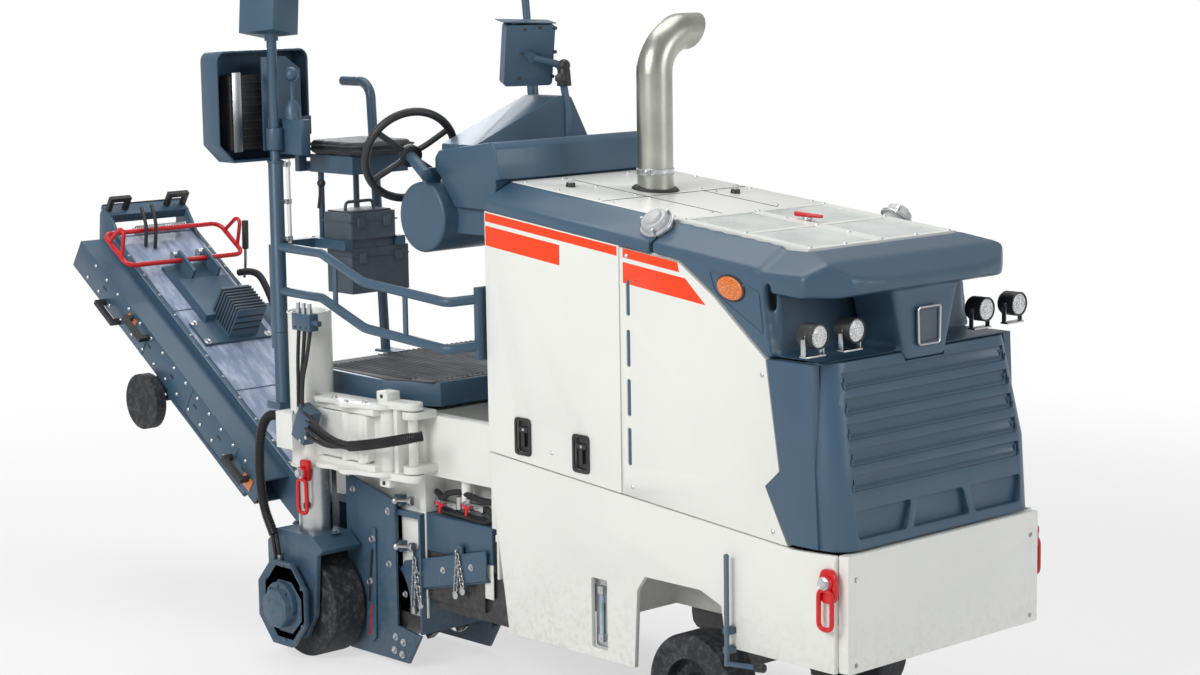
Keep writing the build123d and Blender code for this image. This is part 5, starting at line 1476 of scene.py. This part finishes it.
made = Kit()
for x, y in ((-0.962, -0.452), (-0.640, 0.452)):
    side = -1 if y < 0 else 1
    out = Vector((0.06, side * 0.628, 0.778)).normalized()
    foot = rimPlace(x, y)
    made.put("cap", bar("neck", foot - out * 0.010, foot + out * 0.028, 0.050, 44, round=0.002))
    made.put("cap", bar("skirt", foot + out * 0.026, foot + out * 0.040, 0.064, 44, tip=0.060, round=0.002))
    made.put("cap", bar("lid", foot + out * 0.040, foot + out * 0.066, 0.056, 44, tip=0.048, round=0.004))
    made.put("cap", bar("crown", foot + out * 0.066, foot + out * 0.078, 0.036, 40, tip=0.030, round=0.003))
    made.put("zinc", ring("band", foot + out * 0.033, out, 0.0625, 0.0022, 44, 8))
    made.put("plastic", ring("base", foot + out * 0.001, out, 0.052, 0.0040, 44, 8))
    for turn in range(3):
        a = math.tau * turn / 3 + 0.5
        across = out.cross(Vector((1, 0, 0))).normalized()
        along = across.cross(out).normalized()
        rim = foot + (across * math.cos(a) + along * math.sin(a)) * 0.060
        made.put("zinc", bar("clip", rim + out * 0.026, rim + out * 0.060, 0.0052, 8))
gather("hood_caps", made)

made = Kit()
ex = -1.450
foot = Vector((ex, 0, hoodZ(ex)))
up = Vector((hoodSlope, 0, 1)).normalized()
made.put("plastic", bar("gasket", foot + up * 0.001, foot + up * 0.010, 0.094, 56, tip=0.086, round=0.002))
for z in (0.062, 0.080):
    made.put("zinc", ring("clamp", foot + Vector((0, 0, z)), (0, 0, 1), 0.0715, 0.0030, 56, 8))
band = bar("band", foot + Vector((0, 0, 0.060)), foot + Vector((0, 0, 0.082)), 0.0722, 56)
made.put("zinc", band)
made.put("zinc", block("clampLug", (ex + 0.020, -0.092, foot.z + 0.060),
                       (ex + 0.040, -0.066, foot.z + 0.082), 0.002))
made.put("steel", bar("clampBolt", (ex + 0.006, -0.084, foot.z + 0.071),
                      (ex + 0.054, -0.084, foot.z + 0.071), 0.005, 8))
for x, y in ((-1.640, -0.270), (-1.245, 0.230)):
    made.put("plastic", bar("plug", Vector((x, y, hoodZ(x))) - up * 0.002,
                            Vector((x, y, hoodZ(x))) + up * 0.016, 0.020, 26, tip=0.017, round=0.002))
    made.put("cap", bar("sight", Vector((x, y, hoodZ(x))) + up * 0.014,
                        Vector((x, y, hoodZ(x))) + up * 0.034, 0.013, 24, tip=0.010, round=0.003))
gather("exhaust_foot", made)

made = Kit()
for x0, x1, y in ((-1.800, -1.340, -0.150), (-1.340, -0.945, -0.150), (-1.340, -0.945, 0.150)):
    a, b = Vector((x0, y, hoodZ(x0) + 0.0006)), Vector((x1, y, hoodZ(x1) + 0.0006))
    made.put("plastic", bar("seam", a, b, 0.0011, 6))
a, b = Vector((-1.340, -0.385, hoodZ(-1.340) + 0.0006)), Vector((-1.340, 0.385, hoodZ(-1.340) + 0.0006))
made.put("plastic", bar("seam", a, b, 0.0011, 6))
spots = [(x, y, hoodZ(x)) for x in (-1.790, -1.600, -1.380, -1.300, -0.975) for y in (-0.370, -0.175,
        0.175, 0.370)]
made.put("zinc", domeRow("screws", spots, up, 0.0085, 0.005))
gather("hood_trim", made)

hatchRear = -0.930
hatchAlong = Vector((1, 0, -hoodSlope)).normalized()


def onHatch(along, across, lift=0.0):
    return Vector((hatchRear, across, hoodZ(hatchRear))) + hatchAlong * along + up * lift


made = Kit()
wire = 0.0011
for ca in (0.165, 0.475):
    for cy in (-0.190, 0.190):
        halfA, halfY = 0.1415, 0.164
        count = 26
        for k in range(count + 1):
            d = -halfA + 2 * halfA * k / count
            made.put("mesh", bar("wire", onHatch(ca + d, cy - halfY, -0.0045),
                                 onHatch(ca + d, cy + halfY, -0.0045), wire, 5))
        count = 30
        for k in range(count + 1):
            d = -halfY + 2 * halfY * k / count
            made.put("mesh", bar("wire", onHatch(ca - halfA, cy + d, -0.0030),
                                 onHatch(ca + halfA, cy + d, -0.0030), wire, 5))
wires = made
made = Kit()
edge = [(0.014, y) for y in (-0.372, -0.012, 0.012, 0.372)] + [(0.320, y) for y in (-0.372, 0.0,
        0.372)] + [(0.628, y) for y in (-0.372, -0.19, 0.0, 0.19, 0.372)] + [(0.165, 0.0), (0.475, 0.0)]
made.put("zinc", domeRow("screws", [tuple(onHatch(a, y)) for a, y in edge], up, 0.0085, 0.0045))
made.put("zinc", bar("latchFoot", onHatch(0.235, 0.040), onHatch(0.235, 0.040, 0.012), 0.017, 24,
                     round=0.002))
latch = bar("latch", onHatch(0.180, 0.032, 0.016), onHatch(0.292, 0.060, 0.020), 0.0095, 14, tip=0.0065,
            round=0.002)
made.put("red", latch)
gather("hatch_mesh", wires + made, "grille_hatch")
print("hood is fitted")

# engine bay: black sheets inside the wheel arches, painted shade for the shaded arch walls
made = Kit()
for side in (-1, 1):
    # each black sheet is painted shade on the inner arch wall
    shade_sheet = sidePlate("shade_sheet", roundedCorners([(-1.085, 0.340), (-0.515, 0.340), (-0.515, 0.815),
                                               (-1.085, 0.815)], 0.06), side * 0.190, -side * 0.006,
                      0.002)
    made.put("black", shade_sheet)
gather("arch_liner", made)

# conveyor: pieces are shaped along, across and above the belt, then turned into place
slope = math.radians(34)
beltPlace = Matrix(((-math.cos(slope), 0, math.sin(slope), -3.005), (0, -1, 0, -0.220),
                    (math.sin(slope), 0, math.cos(slope), 0.4135), (0, 0, 0, 1)))


made = Kit()
for side, last in ((1, 2.030), (-1, 1.460)):
    face = side * 0.355
    count = int((last - 0.42) / 0.105)
    for h in (0.020, -0.070):
        spots = [(0.42 + 0.105 * k + (0.03 if h < 0 else 0), face, h) for k in range(count)]
        made.put("zinc", domeRow("rivets", spots, (0, side, 0), 0.0085, 0.005))
    for k in range(int((last - 0.5) / 0.21)):
        a = 0.520 + 0.21 * k
        made.put("plastic", block("slot", (a - 0.014, face - 0.001, -0.030),
                                  (a + 0.014, face + side * 0.0012, -0.019)))
    for a in (0.60, 1.00, 1.40):
        if a < last:
            made.put("slate", block("strap", (a - 0.012, face - 0.0010, -0.098),
                                    (a + 0.012, face + side * 0.003, 0.038), 0.001))
for c in (-0.224, 0.224):                               # strips along the clear cover
    made.put("slate", block("strip", (0.335, c - 0.010, 0.0925), (2.002, c + 0.010, 0.0965), 0.001))
    made.put("zinc", domeRow("stripScrews", [(0.40 + 0.145 * k, c, 0.0965) for k in range(11)], (0, 0, 1),
                             0.0075, 0.004))
for a in (0.345, 0.885, 1.445, 1.990):
    made.put("slate", block("seam", (a - 0.003, -0.214, 0.0920), (a + 0.003, 0.214, 0.0945), 0.0008))
rail = bar("lowRail", (0.470, 0.330, -0.135), (1.190, 0.330, -0.135), 0.0125, 14, round=0.003)
made.put("slate", rail)
for a in (0.50, 0.82, 1.16):
    made.put("slate", block("railFoot", (a - 0.018, 0.324, -0.140), (a + 0.018, 0.336, -0.098), 0.002))
made.put("amber", block("reflector", (1.490, 0.354, -0.045), (1.560, 0.361, 0.012), 0.003))
made.put("amber", block("reflector", (0.430, 0.354, -0.075), (0.500, 0.361, -0.020), 0.003))
for k in range(8):                                      # ribbed housing on the folding bracket
    a = 1.226 + 0.0195 * k
    made.put("plastic", block("fin", (a - 0.0035, -0.1035, 0.120), (a + 0.0035, 0.0585, 0.2675), 0.0012))
for h in (0.150, 0.185, 0.220):
    made.put("plastic", block("fin", (1.2115, -0.096, h - 0.003), (1.2150, 0.051, h + 0.003), 0.001))
made.put("zinc", boltRow("houseBolts", [(a, c, 0.1065) for a in (1.205, 1.335) for c in (-0.155, 0.175)],
                         (0, 0, 1), 0.011, 0.009, 6, 0.018))
for c in (0.020, -0.120):                               # clamps round the push bar's foot
    made.put("steel", bar("clamp", (1.780, c - 0.020, 0.128), (1.780, c + 0.020, 0.128), 0.0215, 20,
                          round=0.002))
coil = [(1.985 + 0.019 * math.cos(math.tau * k / 10), -0.150 + 0.0012 * k,
         0.128 + 0.019 * math.sin(math.tau * k / 10)) for k in range(231)]
made.put("steel", tube("spring", coil, 0.0036, 8, smooth=False))
made.put("steel", bar("springHook", (1.985, 0.126, 0.128), (1.990, 0.196, 0.110), 0.004, 8))
made.put("plastic", tube("bentA", [(1.900, 0.105, 0.098), (1.935, 0.105, 0.175), (1.985, 0.100, 0.205),
                                   (2.040, 0.088, 0.215)], 0.0085, 10))
made.put("plastic", tube("bentB", [(1.880, 0.065, 0.098), (1.915, 0.065, 0.180), (1.965, 0.058, 0.220),
                                   (2.030, 0.046, 0.236)], 0.0085, 10))
made.put("steel", tube("leverRod", [(1.620, -0.285, 0.090), (1.640, -0.285, 0.150),
                                    (1.690, -0.280, 0.235)], 0.0075, 10))
made.put("plastic", bar("leverGrip", (1.678, -0.281, 0.215), (1.745, -0.276, 0.335), 0.0155, 20, round=0.005))
for side in (-1, 1):
    made.put("slate", bar("bearing", (1.990, side * 0.2185, -0.025), (1.990, side * 0.238, -0.025), 0.046,
                          36, round=0.003))
    made.put("steel", bar("pin", (1.990, side * 0.236, -0.025), (1.990, side * 0.256, -0.025), 0.020, 28,
                          round=0.002))
    boltSpots = [(1.990 + 0.034 * math.cos(a), side * 0.238, -0.025 + 0.034 * math.sin(a))
                 for a in (math.tau * k / 4 + 0.4 for k in range(4))]
    made.put("zinc", boltRow("bearingBolts", boltSpots, (0, side, 0), 0.0065, 0.006, 6))
    made.put("steel", bar("adjuster", (1.820, side * 0.228, -0.028), (1.945, side * 0.228, -0.028), 0.008,
                          12))
    made.put("zinc", bar("adjusterNut", (1.905, side * 0.228, -0.028), (1.920, side * 0.228, -0.028),
                         0.015, 6))
made.put("plastic", block("lip", (2.1525, -0.2165, 0.132), (2.1600, 0.2165, 0.157), 0.002))
for piece, finish in made:
    piece.data.transform(beltPlace)
hoseLine = [tuple(beltPlace @ Vector(p)) for p in ((1.640, -0.262, 0.105), (1.560, -0.275, 0.190),
                                                   (1.440, -0.272, 0.175), (1.300, -0.262, 0.120),
                                                   (1.180, -0.245, 0.104), (1.060, -0.245, 0.102))]
made.put("hose", ribbedHose("far_hose", hoseLine, 0.0165))
gather("conveyor_trim", made, "conveyor")

print("conveyor is fitted")

# station furniture: cabinet, tool cases, mast rail
made = Kit()
made.put("plastic", block("controller", (-3.300, -0.730, 2.085), (-3.226, -0.430, 2.400), 0.008))
for k in range(9):
    z = 2.110 + 0.032 * k
    made.put("plastic", block("rib", (-3.228, -0.722, z - 0.004), (-3.2195, -0.438, z + 0.004), 0.0015))
for y in (-0.700, -0.460):
    made.put("zinc", block("bracketPlate", (-3.2195, y - 0.022, 2.080), (-3.2165, y + 0.022, 2.410), 0.001))
gather("control_unit", made)
made = Kit()
for (x0, x1, y0, y1, z0, z1) in ((-3.050, -2.860, -0.404, -0.156, 1.710, 1.820), (-3.040, -2.870, -0.390,
                    -0.090, 1.480, 1.670)):
    seam = z1 - 0.036
    made.put("case", block("lidEdge", (x0 - 0.003, y0 - 0.003, seam - 0.003),
                           (x1 + 0.003, y1 + 0.003, seam + 0.003), 0.0015))
    made.put("case", block("lidStep", (x0 + 0.016, y0 + 0.016, z1 - 0.001),
                           (x1 - 0.016, y1 - 0.016, z1 + 0.007), 0.003))
    for y in (y0 + 0.055, y1 - 0.055):
        made.put("case", block("catch", (x1 + 0.0005, y - 0.018, seam - 0.028),
                               (x1 + 0.008, y + 0.018, seam + 0.016), 0.002))
    middle = (y0 + y1) / 2
    made.put("case", bentBar("handle", [((x0 + x1) / 2, middle - 0.075, z1 + 0.004),
                                        ((x0 + x1) / 2, middle - 0.070, z1 + 0.040),
                                        ((x0 + x1) / 2, middle + 0.070, z1 + 0.040),
                                        ((x0 + x1) / 2, middle + 0.075, z1 + 0.004)], 0.0068, 0.022, 10))
gather("case_trim", made)
made = Kit()
made.put("white", bar("railRod", (-3.052, -0.572, 1.700), (-3.052, -0.572, 2.050), 0.0085, 16, round=0.002))
for z in (1.720, 1.875, 2.030):
    made.put("zinc", block("clip", (-3.086, -0.590, z - 0.010), (-3.044, -0.562, z + 0.010), 0.002))
for z in (2.040, 1.330):
    made.put("slate", ring("mastCollar", (-3.100, -0.600, z), (0, 0, 1), 0.030, 0.0055, 44, 8))
made.put("plastic", bar("leverRod", (-3.010, -0.450, 1.840), (-2.990, -0.450, 1.935), 0.007, 12))
made.put("plastic", ball("leverKnob", (-2.988, -0.450, 1.945), 0.018))
gather("mast_trim", made)
print("station is furnished")

# seat cushion: the CAD pad, remeshed, blown up a little by cloth, then seamed
cushionSizes = {"voxel": 0.006, "pressure": 4.0, "cap": 0.012, "frames": 20, "start": 0.965}


def seatPad():
    source = frame["nodes"]["seat_cushion"]
    clearSelection()
    piece = source.copy()
    piece.data = source.data.copy()
    piece.parent = None
    piece.name = "seat_pad"
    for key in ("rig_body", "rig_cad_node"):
        if key in piece:
            del piece[key]
    bpy.context.scene.collection.objects.link(piece)
    weld(piece, 0.00002)
    corners = [v.co.copy() for v in piece.data.vertices]
    low = Vector([min(c[i] for c in corners) for i in range(3)])
    high = Vector([max(c[i] for c in corners) for i in range(3)])
    middle = (low + high) / 2
    size = cushionSizes["start"]
    piece.data.transform(Matrix.Translation(middle) @ Matrix.Diagonal((size, size, 0.84,
            1)) @ Matrix.Translation(-middle))
    grid = piece.modifiers.new("evenMesh", "REMESH")
    grid.mode = "VOXEL"
    grid.voxel_size = cushionSizes["voxel"]
    pick(piece)
    bpy.ops.object.modifier_apply(modifier=grid.name)
    before = [v.co.copy() for v in piece.data.vertices]
    cloth = piece.modifiers.new("cloth", "CLOTH")
    cloth.settings.use_pressure = True
    cloth.settings.uniform_pressure_force = cushionSizes["pressure"]
    cloth.settings.effector_weights.gravity = 0
    for step in range(1, cushionSizes["frames"] + 1):
        bpy.context.scene.frame_set(step)
    shaped = piece.evaluated_get(bpy.context.evaluated_depsgraph_get())
    places = [v.co.copy() for v in shaped.data.vertices]
    piece.modifiers.remove(cloth)
    bpy.context.scene.frame_set(1)
    for vertex, start, end in zip(piece.data.vertices, before, places):
        move = end - start
        if move.length > cushionSizes["cap"]:
            move = move.normalized() * cushionSizes["cap"]
        spot = start + move
        for i in range(3):
            spot[i] = min(max(spot[i], low[i] + 0.0005), high[i] - 0.0005)
        vertex.co = spot
    finer = piece.modifiers.new("finer", "SUBSURF")
    finer.levels = finer.render_levels = 1
    pick(piece)
    bpy.ops.object.modifier_apply(modifier=finer.name)
    piece.data.materials.clear()
    piece.data.materials.append(finishes["vinyl"])
    bpy.ops.object.shade_smooth_by_angle(angle=math.radians(60))
    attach(piece, "root")
    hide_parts("seat_cushion")


seatPad()
welt = [(-3.140, -0.443), (-2.760, -0.443), (-2.760, -0.090), (-3.140, -0.090)]
for name, z, grow in (("seat_welt_low", 2.082, -0.0065), ("seat_welt_top", 2.102, -0.0075)):
    centre = Vector((-2.950, -0.2665, 0))
    corners = [(x - (-1 if x < centre.x else 1) * 0.0065, y - (-1 if y < centre.y else 1) * 0.0065,
                z) for x, y in welt]
    line = bentBar(name, corners, 0.0036, 0.070, 8, closed=True)
    finishPiece(line, "vinyl", "root")
print("seat is padded")
